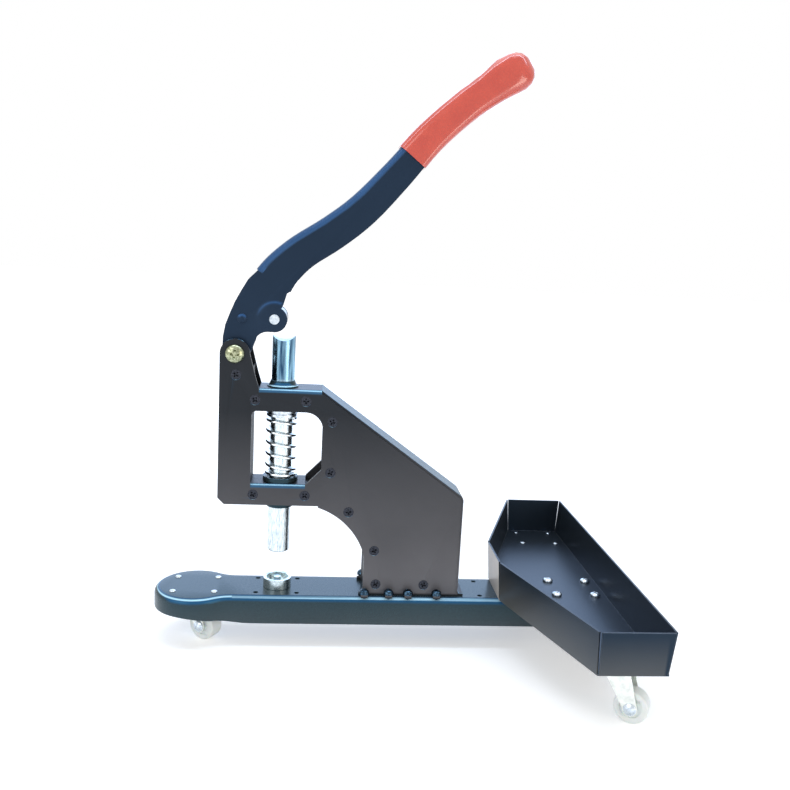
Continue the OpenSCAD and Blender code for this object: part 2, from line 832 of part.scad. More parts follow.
function spring_point(p) = let (a = p[0] / spring_path_r * 180 / PI)
    [spring_path_r * cos(a), spring_path_r * sin(a), spring_low + p[1]];
function spring_ring(p) = let (
    a = p[0] / spring_path_r * 180 / PI,
    out = [cos(a), sin(a), 0],
    up = [sin(a) * sin(p[2]), -cos(a) * sin(p[2]), cos(p[2])])
    [for (j = [0:wire_sides - 1]) let (t = j * 360 / wire_sides)
        spring_point(p) + spring_wire / 2 * (cos(t) * out + sin(t) * up)];

// Least gap of the spring to itself, measured between rings half a curl or more apart
SPRING_POINTS = [for (p = SPRING_PATH) spring_point(p)];
spring_least_gap = min([for (i = [0:len(SPRING_POINTS) - 1], j = [0:len(SPRING_POINTS) - 1])
    if (j - i >= curl_rings / 2) norm(SPRING_POINTS[i] - SPRING_POINTS[j])]) - spring_wire;
echo(spring_least_gap = spring_least_gap);

module return_spring() {
    color("#c3cad0") placed() skin([for (p = SPRING_PATH) spring_ring(p)]);
}

// Lever's middle line, as shares of its reach, its rise and its depth, from the pivot up
LEVER_SHARES = [[0.099, 0.191, 1.36], [0.126, 0.240, 1.288], [0.163, 0.286, 1.197],
    [0.226, 0.340, 1.117], [0.327, 0.404, 1.098], [0.430, 0.483, 1.061], [0.543, 0.599, 0.99],
    [0.648, 0.718, 0.917], [0.769, 0.825, 0.900], [0.867, 0.896, 0.988], [0.938, 0.939, 1.08],
    [1.005, 0.981, 1.08]];
LEVER_ROWS = [for (s = LEVER_SHARES)
    [s[0] * lever_reach - pivot_x, s[1] * lever_rise + pivot_z, s[2] * lever_depth]];
lever_last = len(LEVER_ROWS) - 2;
lever_stations = len(LEVER_ROWS) - 1;
aside_share = 0.01;

function smooth(a, b, c, d, t) = (2 * b + (c - a) * t + (2 * a - 5 * b + 4 * c - d) * t * t
    + (3 * b - a - 3 * c + d) * t * t * t) / 2;
function lever_at(u) = let (i = max(1, min(floor(u), lever_last - 1)))
    smooth(LEVER_ROWS[i - 1], LEVER_ROWS[i], LEVER_ROWS[i + 1], LEVER_ROWS[i + 2], u - i);
function lever_dir(u) = let (
    d = lever_at(u + aside_share) - lever_at(u - aside_share),
    run = [d[0], d[1]])
    run / norm(run);
// A place beside the lever's middle line, by its station and its depth towards the back
function beside(u, depth) = let (p = lever_at(u), d = lever_dir(u))
    [p[0] - depth * d[1], p[1] + depth * d[0]];

// A ring round the lever from section points in depth and width
function lever_ring(u, section, ahead = 0) = let (
    d = lever_dir(u),
    p = lever_at(u) + ahead * concat(d, 0))
    [for (s = section) [p[0] - s[0] * d[1], s[1], p[1] + s[0] * d[0]]];

corner_turns = [0, 30, 60, 90];
function half_channel(open, back, half, bend) = concat([[-open, -half]],
    [for (a = corner_turns) [back - bend + bend * sin(a), -half + bend - bend * cos(a)]]);
function mirrored(section) = [for (p = reversed(section)) [p[0], -p[1]]];
function channel_section(depth) = let (
    outer = half_channel(depth / 2, depth / 2, lever_w / 2, lever_bend),
    inner = half_channel(depth / 2, depth / 2 - lever_t, lever_w / 2 - lever_t,
        lever_bend - lever_t))
    concat(outer, mirrored(outer), reversed(concat(inner, mirrored(inner))));

channel_end_share = 0.873;
channel_end = lever_stations * channel_end_share;
stations_a_row = 4;
CHANNEL_STATIONS = concat(
    [for (i = [0:floor((channel_end - 1) * stations_a_row)]) 1 + i / stations_a_row],
    [channel_end]);

// Outline of the lever's cheeks below the channel, as shares of the roller's arm
CHEEK_BACK_SHARES = [[0.209, 1.428], [0.083, 1.209], [-0.030, 0.995], [-0.122, 0.772],
    [-0.205, 0.549], [-0.248, 0.313], [-0.257, 0]];
CHEEK_FRONT_SHARES = [[0.876, 0.922], [0.952, 1.184]];
cheek_corner_share = [0.361, 0.228];
neck_c_share = [0.623, 0.161];
neck_r_share = 0.276;
boss_share = 0.248;
heel_turn = -21.2;
cheek_step = 1.5;
cheek_over_share = 1.1;
pivot_at = [-pivot_x, pivot_z];
pin_at = [pin_x, pin_z];
boss_r = roller_arm * boss_share;

module cheek_outline() {
    difference() {
        polygon(concat(
            [beside(cheek_over_share, -lever_at(cheek_over_share)[2] / 2),
                beside(cheek_over_share, lever_at(cheek_over_share)[2] / 2 - lever_bend),
                beside(1, lever_at(1)[2] / 2 - lever_bend),
                beside(1, lever_at(1)[2] / 2 - cheek_step)],
            [for (s = CHEEK_BACK_SHARES) pivot_at + roller_arm * s],
            [pivot_at, pivot_at + heel_r * [cos(heel_turn), sin(heel_turn)],
                pivot_at + roller_arm * cheek_corner_share,
                pivot_at + roller_arm * neck_c_share, pin_at],
            [for (s = CHEEK_FRONT_SHARES) pivot_at + roller_arm * s]));
        translate(pivot_at + roller_arm * neck_c_share)
            circle(roller_arm * neck_r_share, $fn = fine);
    }
    translate(pivot_at) circle(heel_r);
    translate(pin_at) circle(boss_r);
}

emboss_h = 1.5;
emboss_r = 12.5;
emboss_slope = 4;
lever_rivet_share = [0.110, 0.674];
lever_rivet_at = pivot_at + roller_arm * lever_rivet_share;
lever_rivet_d = 5;
lever_rivet_head_d = 8;
lever_rivet_head_h = 1.8;

// Near cheek with its embossed boss, y negative
module cheek() {
    translate([0, -lever_w / 2 + lever_t / 2, 0]) difference() {
        union() {
            upright(lever_t) cheek_outline();
            intersection() {
                translate([pin_x, -lever_t / 2, pin_z]) rotate([90, 0, 0])
                    cylinder(r1 = emboss_r + emboss_slope, r2 = emboss_r, h = emboss_h);
                upright(lever_t + 2 * emboss_h + cut) cheek_outline();
            }
        }
        translate([pin_x, lever_t / 2 + cut, pin_z]) rotate([90, 0, 0]) {
            cylinder(r = emboss_r, h = emboss_h + cut);
            cylinder(r = roller_pin_d / 2 + hole_fit, h = lever_t + emboss_h + 2 * cut);
        }
        translate([-pivot_x, 0, pivot_z]) rotate([90, 0, 0])
            cylinder(r = sleeve_r + turn_fit, h = lever_t + 2 * cut, center = true);
        translate([lever_rivet_at[0], 0, lever_rivet_at[1]]) rotate([90, 0, 0])
            cylinder(d = lever_rivet_d + 2 * hole_fit, h = lever_t + 2 * cut, center = true);
    }
}

module lever_channel() {
    color("#1d2430") placed() {
        skin([for (u = CHANNEL_STATIONS) lever_ring(u, channel_section(lever_at(u)[2]))]);
        cheek();
        mirror([0, 1, 0]) cheek();
    }
}

module roller_pin() {
    color("#d5d9dc") placed() translate([pin_x, 0, pin_z]) rotate([90, 0, 0])
        cylinder(d = roller_pin_d, h = lever_w + 2 * emboss_h + run_gap, center = true);
}

module roller() {
    color("#7f8387") placed() translate([pin_x, 0, pin_z]) difference() {
        upright(lever_w - 2 * lever_t - 2 * run_gap) circle(roller_r);
        upright(lever_w) circle(roller_pin_d / 2 + turn_fit);
    }
}

module lever_rivet() {
    color("#1d2430") placed() translate([lever_rivet_at[0], 0, lever_rivet_at[1]]) {
        rotate([90, 0, 0]) cylinder(d = lever_rivet_d, h = lever_w + lever_rivet_head_h, center = true);
        for (side = [-1, 1]) translate([0, side * lever_w / 2, 0]) rotate([-side * 90, 0, 0])
            dome_head(lever_rivet_head_d, lever_rivet_head_h);
    }
}

// Dipped grip: its skin runs back inside, turns at the mouth and closes in a round end
grip_start_share = 0.588;
grip_start = lever_stations * grip_start_share;
grip_fit = 0.3;
grip_cavity_share = 0.8785;
grip_cavity_end = lever_stations * grip_cavity_share;
grip_steps = 13;
grip_corner = 0.6;
grip_low_r = 4;
bulb_from_share = 0.773;
bulb_from = lever_stations * bulb_from_share;
bulb_share = 0.08;
BULB_TURNS = [22, 42, 60, 76];

function corner_pts(at, r, from) = [for (a = corner_turns)
    at + r * [cos(from + a), sin(from + a)]];
// Rounded section, halves in depth and width, with radii at the lever's back and its open side
function round_section(a, b, back_r, open_r) = concat(
    corner_pts([a - back_r, b - back_r], back_r, 0),
    corner_pts([-a + open_r, b - open_r], open_r, 90),
    corner_pts([-a + open_r, -b + open_r], open_r, 180),
    corner_pts([a - back_r, -b + back_r], back_r, 270));
// Ring of the grip that far outside the lever, its width swelled, drawn in and moved ahead
function grip_ring(u, off, open_r, swell = 0, drawn = 1, ahead = 0) = let (
    a = lever_at(u)[2] / 2 + off,
    b = lever_w / 2 * (1 + swell) + off)
    lever_ring(u, drawn * round_section(a, b, lever_bend + off, open_r), ahead);
function bulb_swell(u) = max(0, u - bulb_from) * bulb_share;
function grip_station(i, end) = grip_start + i / grip_steps * (end - grip_start);

module grip() {
    off = grip_fit + grip_t;
    end_r = lever_at(lever_last)[2] / 2 + off;
    end_swell = bulb_swell(lever_last);
    color("#d9574a") placed() skin(concat(
        [for (i = [grip_steps:-1:0])
            grip_ring(grip_station(i, grip_cavity_end), grip_fit, grip_corner)],
        [for (i = [0:grip_steps]) let (u = grip_station(i, lever_last))
            grip_ring(u, off, grip_low_r * (1 + i / grip_steps), bulb_swell(u))],
        [for (t = BULB_TURNS)
            grip_ring(lever_last, off, 2 * grip_low_r, end_swell, cos(t), end_r * sin(t))]));
}

// Tray: six-sided floor with walls that lean out and stand apart at the corners
slit_w = 1.2;
TRAY_FLOOR = [[tray_back, -tray_half], [tray_back, tray_half], [tray_shoulder, tray_half],
    [tray_front, tray_nose_len / 2], [tray_front, -tray_nose_len / 2], [tray_shoulder, -tray_half]];

module tray_pan() {
    color("#24282c") placed() translate([0, 0, base_top]) difference() {
        union() {
            linear_extrude(tray_t) polygon(TRAY_FLOOR);
            for (i = [0:len(TRAY_FLOOR) - 1]) {
                from = TRAY_FLOOR[i];
                run = TRAY_FLOOR[(i + 1) % len(TRAY_FLOOR)] - from;
                translate(from) rotate(atan2(run[1], run[0])) rotate([tray_flare, 0, 0])
                    translate([slit_w, 0, 0]) cube([norm(run) - 2 * slit_w, tray_t, tray_wall_h]);
            }
        }
        translate([0, 0, -cut]) {
            at_pattern(tray_bolt_x) cylinder(d = tray_bolt_d + 2 * hole_fit, h = tray_t + 2 * cut);
            for (side = [-1, 1]) at_pattern(tray_bolt_x, side * tray_caster_y)
                cylinder(d = rivet_d + 2 * hole_fit, h = tray_t + 2 * cut);
        }
    }
}

module tray_bolts() {
    color("#c8ccd0") placed() translate([0, 0, base_top + tray_t]) at_pattern(tray_bolt_x)
        pan_screw(tray_bolt_head_d, tray_bolt_head_h, tray_bolt_d,
            tray_t + base_t + tray_nut_h + thread_end);
}

module tray_nuts() {
    color("#c8ccd0") placed() translate([0, 0, base_top - base_t - tray_nut_h])
        at_pattern(tray_bolt_x) hex_nut(tray_nut_w, tray_nut_h, tray_bolt_d);
}

// Casters, drawn about their swivel with z = 0 at the floor
caster_plate_t = 2;
caster_corner = 4;
caster_edge = 5;
race_r = 12;
race_h = 3.5;
kingpin_d = 6;
kingpin_head_d = 10;
kingpin_head_h = 1.6;
fork_t = 2;
fork_side_gap = 0.8;
fork_half = wheel_w / 2 + fork_side_gap;
fork_top_share = 0.36;
fork_top = wheel_d * fork_top_share;
axle_head_d = 10;
axle_head_h = 2.4;
axle_boss_r = axle_head_d / 2 + fork_side_gap;
wheel_edge = 1.5;
hub_r_share = 0.62;
hub_recess = 1;

module caster_rivets(x, y, head_z, grip_l) {
    color("#d0d4d8") placed() translate([0, 0, head_z]) at_pattern(x, y) rivet(grip_l);
}

module nose_rivets() {
    caster_rivets(-nose_x, 0, base_top, base_t + caster_plate_t);
}

module near_caster_rivets() {
    caster_rivets(tray_bolt_x, -tray_caster_y, base_top + tray_t, tray_t + caster_plate_t);
}

module far_caster_rivets() {
    caster_rivets(tray_bolt_x, tray_caster_y, base_top + tray_t, tray_t + caster_plate_t);
}

// Mounting plate with its ball race and kingpin, hung from a face at a given height
module caster_plate(hang_z) {
    long = pattern_x + 2 * caster_edge;
    wide = pattern_y + 2 * caster_edge;
    color("#c3c9ce") translate([0, 0, hang_z - caster_plate_t]) {
        difference() {
            linear_extrude(caster_plate_t) {
                square([long - 2 * caster_corner, wide], center = true);
                square([long, wide - 2 * caster_corner], center = true);
                for (sx = [-1, 1], sy = [-1, 1])
                    translate([sx * (long / 2 - caster_corner), sy * (wide / 2 - caster_corner)])
                        circle(caster_corner);
            }
            translate([0, 0, -cut])
                at_pattern() cylinder(d = rivet_d + 2 * hole_fit, h = caster_plate_t + 2 * cut);
        }
        translate([0, 0, -race_h]) cylinder(r = race_r, h = race_h);
        translate([0, 0, -race_h - fork_t - 2 * turn_fit]) {
            cylinder(d = kingpin_d, h = fork_t + race_h);
            translate([0, 0, -kingpin_head_h]) cylinder(d = kingpin_head_d, h = kingpin_head_h);
        }
    }
}

// Swivel fork with its wheel axle one trail back from the swivel
module caster_fork(hang_z) {
    top = hang_z - caster_plate_t - race_h - turn_fit;
    axle_z = wheel_d / 2;
    color("#cdd3d8") difference() {
        union() {
            translate([-fork_top, -fork_half - fork_t, top - fork_t])
                cube([2 * fork_top, 2 * (fork_half + fork_t), fork_t]);
            for (side = [-1, 1]) translate([0, side * (fork_half + fork_t / 2), 0])
                upright(fork_t) {
                    polygon([[-fork_top, top], [fork_top, top], [caster_trail + axle_boss_r, axle_z],
                        [caster_trail - axle_boss_r, axle_z], [-fork_top, top - fork_t]]);
                    translate([caster_trail, axle_z]) circle(axle_boss_r);
                }
        }
        translate([0, 0, top - fork_t - cut])
            cylinder(r = kingpin_d / 2 + turn_fit, h = fork_t + 2 * cut);
        translate([caster_trail, 0, axle_z]) rotate([90, 0, 0])
            cylinder(r = axle_d / 2 + hole_fit, h = 2 * (fork_half + fork_t + cut), center = true);
    }
}

module caster_axle() {
    half = fork_half + fork_t;
    color("#dfe3e6") translate([caster_trail, 0, wheel_d / 2]) {
        rotate([90, 0, 0]) cylinder(d = axle_d, h = 2 * half + axle_head_h, center = true);
        for (side = [-1, 1]) translate([0, side * half, 0]) rotate([-side * 90, 0, 0])
            dome_head(axle_head_d, axle_head_h);
    }
}

module caster_wheel() {
    half = wheel_w / 2;
    tread_r = wheel_d / 2;
    bore_r = axle_d / 2 + turn_fit;
    color("#eef0ee") translate([caster_trail, 0, tread_r]) rotate([90, 0, 0]) difference() {
        rotate_extrude($fn = fine) {
            translate([bore_r, -half]) square([tread_r - wheel_edge - bore_r, wheel_w]);
            translate([bore_r, -half + wheel_edge])
                square([tread_r - bore_r, wheel_w - 2 * wheel_edge]);
            for (side = [-1, 1]) translate([tread_r - wheel_edge, side * (half - wheel_edge)])
                circle(wheel_edge, $fn = 24);
        }
        for (side = [-1, 1]) translate([0, 0, side * half]) difference() {
            cylinder(r = tread_r * hub_r_share, h = 2 * hub_recess, center = true);
            cylinder(r = axle_boss_r, h = 2 * hub_recess + cut, center = true);
        }
    }
}

nose_hang = base_top - base_t;

module at_nose(turn = 0) {
    placed() translate([-nose_x, 0, 0]) rotate(turn) children();
}

module at_tray(side, turn = 0) {
    placed() translate([tray_bolt_x, side * tray_caster_y, 0]) rotate(turn) children();
}

module nose_caster_plate() {
    at_nose() caster_plate(nose_hang);
}

module nose_caster_fork() {
    at_nose(nose_turn) caster_fork(nose_hang);
}

module nose_caster_axle() {
    at_nose(nose_turn) caster_axle();
}

module nose_caster_wheel() {
    at_nose(nose_turn) caster_wheel();
}

module near_caster_plate() {
    at_tray(-1) caster_plate(base_top);
}

module near_caster_fork() {
    at_tray(-1, near_turn) caster_fork(base_top);
}

module near_caster_axle() {
    at_tray(-1, near_turn) caster_axle();
}

module near_caster_wheel() {
    at_tray(-1, near_turn) caster_wheel();
}

module far_caster_plate() {
    at_tray(1) caster_plate(base_top);
}

module far_caster_fork() {
    at_tray(1, far_turn) caster_fork(base_top);
}

module far_caster_axle() {
    at_tray(1, far_turn) caster_axle();
}

module far_caster_wheel() {
    at_tray(1, far_turn) caster_wheel();
}

base_shell();
side_plate_near();
side_plate_far();
column_block();
upper_guide_block();
lower_guide_block();
window_rib();
throat_rib();
foot_block();
rear_cover();
throat_liner();
upper_bush();
lower_bush();
plate_screws();
foot_screws();
pivot_bolt();
pivot_nut();
pivot_sleeve();
lower_die();
die_nut();
ram();
ram_collar();
return_spring();
lever_channel();
roller();
roller_pin();
lever_rivet();
grip();
tray_pan();
tray_bolts();
tray_nuts();
nose_rivets();
near_caster_rivets();
far_caster_rivets();
nose_caster_plate();
nose_caster_fork();
nose_caster_axle();
nose_caster_wheel();
near_caster_plate();
near_caster_fork();
near_caster_axle();
near_caster_wheel();
far_caster_plate();
far_caster_fork();
far_caster_axle();
far_caster_wheel();
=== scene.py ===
# %% [markdown]
# # A hand-lever eyelet press on three casters
# The real machine is folded and cut steel sheet, sprayed satin black, with a bright steel ram, a
# wound spring, a red dipped grip and a folded tray behind it. The imported CAD model gives every
# solid in metres, so this lesson adds what a solid model lacks: soft edges, turned and wound
# pieces, screws with their recesses, and a finish for each surface. First the model is loaded.
# Nothing made here may reach outside it.

# %% Load the solid model
import json
import math
import bmesh
import bpy
from mathutils import Matrix, Vector

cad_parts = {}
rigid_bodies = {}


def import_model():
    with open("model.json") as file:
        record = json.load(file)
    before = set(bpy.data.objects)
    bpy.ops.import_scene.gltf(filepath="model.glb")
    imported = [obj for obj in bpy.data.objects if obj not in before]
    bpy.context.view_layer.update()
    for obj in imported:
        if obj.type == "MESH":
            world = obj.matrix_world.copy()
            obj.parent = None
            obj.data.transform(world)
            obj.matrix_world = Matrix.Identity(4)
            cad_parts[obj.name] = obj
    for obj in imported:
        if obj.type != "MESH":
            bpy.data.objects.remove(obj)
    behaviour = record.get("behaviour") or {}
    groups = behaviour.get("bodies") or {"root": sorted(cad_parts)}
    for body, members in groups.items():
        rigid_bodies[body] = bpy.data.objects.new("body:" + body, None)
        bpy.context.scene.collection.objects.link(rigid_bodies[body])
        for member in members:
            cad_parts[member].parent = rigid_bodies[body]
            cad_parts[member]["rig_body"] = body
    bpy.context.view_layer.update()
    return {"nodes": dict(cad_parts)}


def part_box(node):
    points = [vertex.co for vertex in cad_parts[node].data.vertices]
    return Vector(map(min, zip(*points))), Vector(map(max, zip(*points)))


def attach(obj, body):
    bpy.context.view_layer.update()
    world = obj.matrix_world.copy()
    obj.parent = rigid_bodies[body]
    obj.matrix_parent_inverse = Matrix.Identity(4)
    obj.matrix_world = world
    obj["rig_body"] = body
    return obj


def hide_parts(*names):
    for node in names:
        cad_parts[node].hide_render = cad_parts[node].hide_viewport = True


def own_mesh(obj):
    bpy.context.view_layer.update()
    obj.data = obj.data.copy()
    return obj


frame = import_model()
SOLIDS = frame["nodes"]
BODY_OF = {solid.name: solid["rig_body"] for solid in SOLIDS.values()}
MM = 0.001

# %% [markdown]
# ## The camera
# The view is set by where the camera stands and how it is turned. Three angles are enough: yaw
# round the upright axis, pitch below the horizon, and a small roll. The lens is worked out from
# the focal length in pixels, because the picture is 790 pixels wide on a 36 mm sensor.

# %% Camera
PICTURE_WIDTH = 790
FOCAL_PIXELS = 869.2
SENSOR_MM = 36
YAW, PITCH, ROLL = 0.094, 0.179, 0.053
CAMERA_PLACE = Vector((-0.07075, -0.74878, 0.36195))

ahead = Vector((math.sin(YAW) * math.cos(PITCH),
                math.cos(YAW) * math.cos(PITCH),
                -math.sin(PITCH)))
level = Vector((math.cos(YAW), -math.sin(YAW), 0))
upward = level.cross(ahead)
right = math.cos(ROLL) * level + math.sin(ROLL) * upward
top = math.cos(ROLL) * upward - math.sin(ROLL) * level

camera = bpy.data.objects.new("camera", bpy.data.cameras.new("camera"))
bpy.context.scene.collection.objects.link(camera)
camera.data.sensor_width = SENSOR_MM
camera.data.lens = FOCAL_PIXELS / PICTURE_WIDTH * SENSOR_MM
turned_view = Matrix((right, top, -ahead)).transposed().to_4x4()
camera.matrix_world = Matrix.Translation(CAMERA_PLACE) @ turned_view
bpy.context.scene.camera = camera
print(f"lens {camera.data.lens:.2f} mm")

# %% [markdown]
# ## Helpers for every node tree
# Colours are written as the hex values that a screen shows, and a shader wants them linear, so one
# function turns them. One more function adds a node: its settings are plain attributes, and each
# input is either a value or another node's output, which is then linked.

# %% Helpers for colours and nodes
def linear(hex_colour):
    """A screen colour such as #33363D as the linear RGBA that a shader reads."""
    parts = [int(hex_colour[i:i + 2], 16) / 255 for i in (1, 3, 5)]
    return (*[c / 12.92 if c <= 0.04045 else ((c + 0.055) / 1.055) ** 2.4 for c in parts], 1)


def add(tree, kind, inputs=None, **settings):
    """A new node with its settings, its inputs given as values or as outputs to link."""
    made = tree.nodes.new(kind)
    for name, value in settings.items():
        setattr(made, name, value)
    for name, value in (inputs or {}).items():
        if isinstance(value, bpy.types.NodeSocket):
            tree.links.new(value, made.inputs[name])
        else:
            made.inputs[name].default_value = value
    return made


def blank(name):
    """A new material and its tree, with the place on the object in metres ready to use."""
    finish = bpy.data.materials.new(name)
    finish.use_nodes = True
    finish.node_tree.nodes.clear()
    place = add(finish.node_tree, "ShaderNodeTexCoord").outputs["Object"]
    return finish, finish.node_tree, place


print("helpers ready")

# %% [markdown]
# ## Light and floor
# A product is photographed in a tent of white cloth: light comes from everywhere, most of it from
# above. Here the world is white for the camera, for gloss and for glass, and weaker for the light
# it gives. Large lamps make the soft shadows, a narrow one overhead lights the bends, whose bright
# line is mostly a painted highlight in the paint, and a cool one behind gives level faces their
# blue sheen. The floor is white paper that looks a little lighter than its light makes it, so it
# fades into the background and keeps only a faint shadow.

# %% White tent
WORLD_LIGHT = 0.45


def seen_share(tree):
    """1 for rays that show a background: from the camera, off gloss and through glass."""
    ray = add(tree, "ShaderNodeLightPath").outputs
    share = add(tree, "ShaderNodeMath", {0: ray["Is Camera Ray"], 1: ray["Is Glossy Ray"]},
                operation="ADD")
    share = add(tree, "ShaderNodeMath", {0: share.outputs[0], 1: ray["Is Transmission Ray"]},
                operation="ADD", use_clamp=True)
    return share.outputs[0]


scene = bpy.context.scene
scene.view_settings.view_transform = "Standard"
scene.world = bpy.data.worlds.new("white_tent")
scene.world.use_nodes = True
tent = scene.world.node_tree
tent.nodes.clear()
strength = add(tent, "ShaderNodeMapRange",
               {"Value": seen_share(tent), "To Min": WORLD_LIGHT, "To Max": 1})
cloth = add(tent, "ShaderNodeBackground", {"Color": (1, 1, 1, 1), "Strength": strength.outputs[0]})
add(tent, "ShaderNodeOutputWorld", {"Surface": cloth.outputs[0]})
print(f"a white tent that gives {WORLD_LIGHT} of its light")

# %% Lamps
LAMPS = {
    "overhead": dict(place=(0.1, 0.15, 1.7), size=(1.5, 1.5), watts=9, colour="#F2F7FF"),
    "strip": dict(place=(0, -0.1, 1.1), size=(1.7, 0.12), watts=3.5, colour="#CFE6FF"),
    "behind": dict(place=(0.1, 1.6, 0.8), size=(2.0, 1.0), watts=12, colour="#9CC8FF"),
    "front_left": dict(place=(-1.2, -1.3, 1.0), size=(1.2, 1.2), watts=9, colour="#FFFFFF"),
    "front_right": dict(place=(0.9, -1.1, 0.35), size=(0.6, 0.6), watts=4, colour="#FFF3E4"),
}
AIM = Vector((0, 0, 0.2))

for name, lamp in LAMPS.items():
    light = bpy.data.objects.new(name, bpy.data.lights.new(name, "AREA"))
    scene.collection.objects.link(light)
    light.data.shape = "RECTANGLE"
    light.data.size, light.data.size_y = lamp["size"]
    light.data.energy = lamp["watts"]
    light.data.color = linear(lamp["colour"])[:3]
    light.location = lamp["place"]
    light.rotation_euler = (AIM - light.location).to_track_quat("-Z", "Y").to_euler()
print(f"{len(LAMPS)} lamps")

# %% Floor
FLOOR_REACH = 6
NEAR_GLOW, FAR_GLOW = 0.36, 0.75
GLOW_RISES = (0.45, 1.1)

floor_mesh = bpy.data.meshes.new("floor")
floor_mesh.from_pydata([(-1, -1, 0), (1, -1, 0), (1, 1, 0), (-1, 1, 0)], [], [(0, 1, 2, 3)])
floor_mesh.transform(Matrix.Scale(FLOOR_REACH, 4))
floor = bpy.data.objects.new("floor", floor_mesh)
scene.collection.objects.link(floor)
paper, tree, place = blank("white_paper")
away = add(tree, "ShaderNodeVectorMath", {0: place}, operation="LENGTH")
paling = add(tree, "ShaderNodeMapRange",
             {"Value": away.outputs["Value"], "From Min": GLOW_RISES[0], "From Max": GLOW_RISES[1],
              "To Min": NEAR_GLOW, "To Max": FAR_GLOW})
glow = add(tree, "ShaderNodeMath", {0: seen_share(tree), 1: paling.outputs[0]},
           operation="MULTIPLY")
sheet = add(tree, "ShaderNodeBsdfPrincipled",
            {"Base Color": (1, 1, 1, 1), "Roughness": 0.9, "Emission Color": (1, 1, 1, 1),
             "Emission Strength": glow.outputs[0]})
add(tree, "ShaderNodeOutputMaterial", {"Surface": sheet.outputs[0]})
floor_mesh.materials.append(paper)
print(f"a floor that reaches {FLOOR_REACH} m each way")

# %% [markdown]
# ## Marks and painted light on the paint
# Most of these colours stand in for light. The lower part of the walls is paler grey; on the body
# that is a painted reflection, lighter towards the foot. The level bends get a painted highlight,
# a bright line with a deep blue painted sheen round it, the lever's edges a bluer painted
# highlight, and the tray's wall that faces the front a pale painted reflection. Each mark is one
# more colour laid over the ground colour. It lies where all its bands are full, and a band goes by
# a value of the surface: its place in metres, or the way it faces. That needs no picture and no
# unwrapping.

# %% Marks
SOFT_MM = 2
UPRIGHT = ("face_up", 0.9, 0.3)
LEVEL_BEND = ("along", 0.6, 0.45)
# Painted light on level bends: a deep blue painted sheen over the bend, and a bright painted
# highlight line on its upper part.
PAINTED_BEND_SHEEN = (("face_up", 0.1, 0.4), ("face_up", 0.995, 0.975), LEVEL_BEND)
PAINTED_BEND_HIGHLIGHT = (("face_up", 0.66, 0.76), ("face_up", 0.94, 0.86), LEVEL_BEND)
# Painted highlight: a bluer colour where the lever's faces turn partly up from its sides.
LEVER_EDGE_HIGHLIGHT = (("across", 0.3, 0.5), ("across", 0.985, 0.93), ("face_up", 0.05, 0.3))
# Painted reflection: a pale colour on the tray's wall that faces the front, near its front end.
TRAY_FRONT_WALL_REFLECTION = (("face_back", -0.965, -0.985), ("x", 0.106, 0.104))


def surface_values(tree, place):
    """What a band may go by: the place, the way a face looks, and that way without its sign."""
    spot = add(tree, "ShaderNodeSeparateXYZ", {"Vector": place}).outputs
    facing = add(tree, "ShaderNodeSeparateXYZ", {"Vector": place.node.outputs["Normal"]}).outputs
    along, across = [add(tree, "ShaderNodeMath", {0: facing[axis]}, operation="ABSOLUTE").outputs[0]
                     for axis in "XY"]
    return {"x": spot["X"], "y": spot["Y"], "height": spot["Z"], "face_back": facing["X"],
            "face_up": facing["Z"], "along": along, "across": across}


def marked(tree, place, ground, marks):
    """The ground colour with marks over it. A mark is a colour and its bands, each the name of
    a value, where the band starts and where it is full."""
    values = surface_values(tree, place)
    for colour, *bands in marks:
        share = 1
        for name, start, full in bands:
            band = add(tree, "ShaderNodeMapRange",
                       {"Value": values[name], "From Min": start, "From Max": full})
            share = add(tree, "ShaderNodeMath", {0: band.outputs[0], 1: share},
                        operation="MULTIPLY").outputs[0]
        ground = add(tree, "ShaderNodeMix", {"Factor": share, 6: ground, 7: linear(colour)},
                     data_type="RGBA").outputs[2]
    return ground


def none_past(axis, limit_mm):
    """A band that ends softly where a place passes a limit."""
    return axis, (limit_mm + SOFT_MM) * MM, limit_mm * MM


def paler_low_walls(colour, none_above_mm, full_below_mm, *more):
    """A paler colour on all but level faces: none above one height, full below the other."""
    return colour, ("height", none_above_mm * MM, full_below_mm * MM), UPRIGHT, *more


def unmarked_below(foot_mm):
    """A band that ends softly below a height, where the ground colour stays."""
    return "height", foot_mm * MM, (foot_mm + SOFT_MM) * MM


print("marks ready")

# %% [markdown]
# ## Sprayed paint
# The body, base, lever and tray are mild steel sprayed with satin enamel. Sprayed enamel flows into
# a faint orange peel, about 1.5 mm from crest to crest, and its sheen is broad, so edges and bends
# catch the light. A bevel node turns the normal near a sharp edge. Where the turned normal and the
# true one differ, a paler colour is mixed in: a painted highlight, the fine pale line that lit
# edges show. Parts inside the machine get a darker, duller copy of the paint, which is painted
# shade.

# %% Paint
PEEL_MM = 1.5
CLOUD_MM = 70
GRAIN_MM = 0.35
EDGE_MM = 0.35
EDGE_HIGHLIGHT_SHARE = 0.55
PAINT_NOISE = {"From Min": 0.3, "From Max": 0.7}


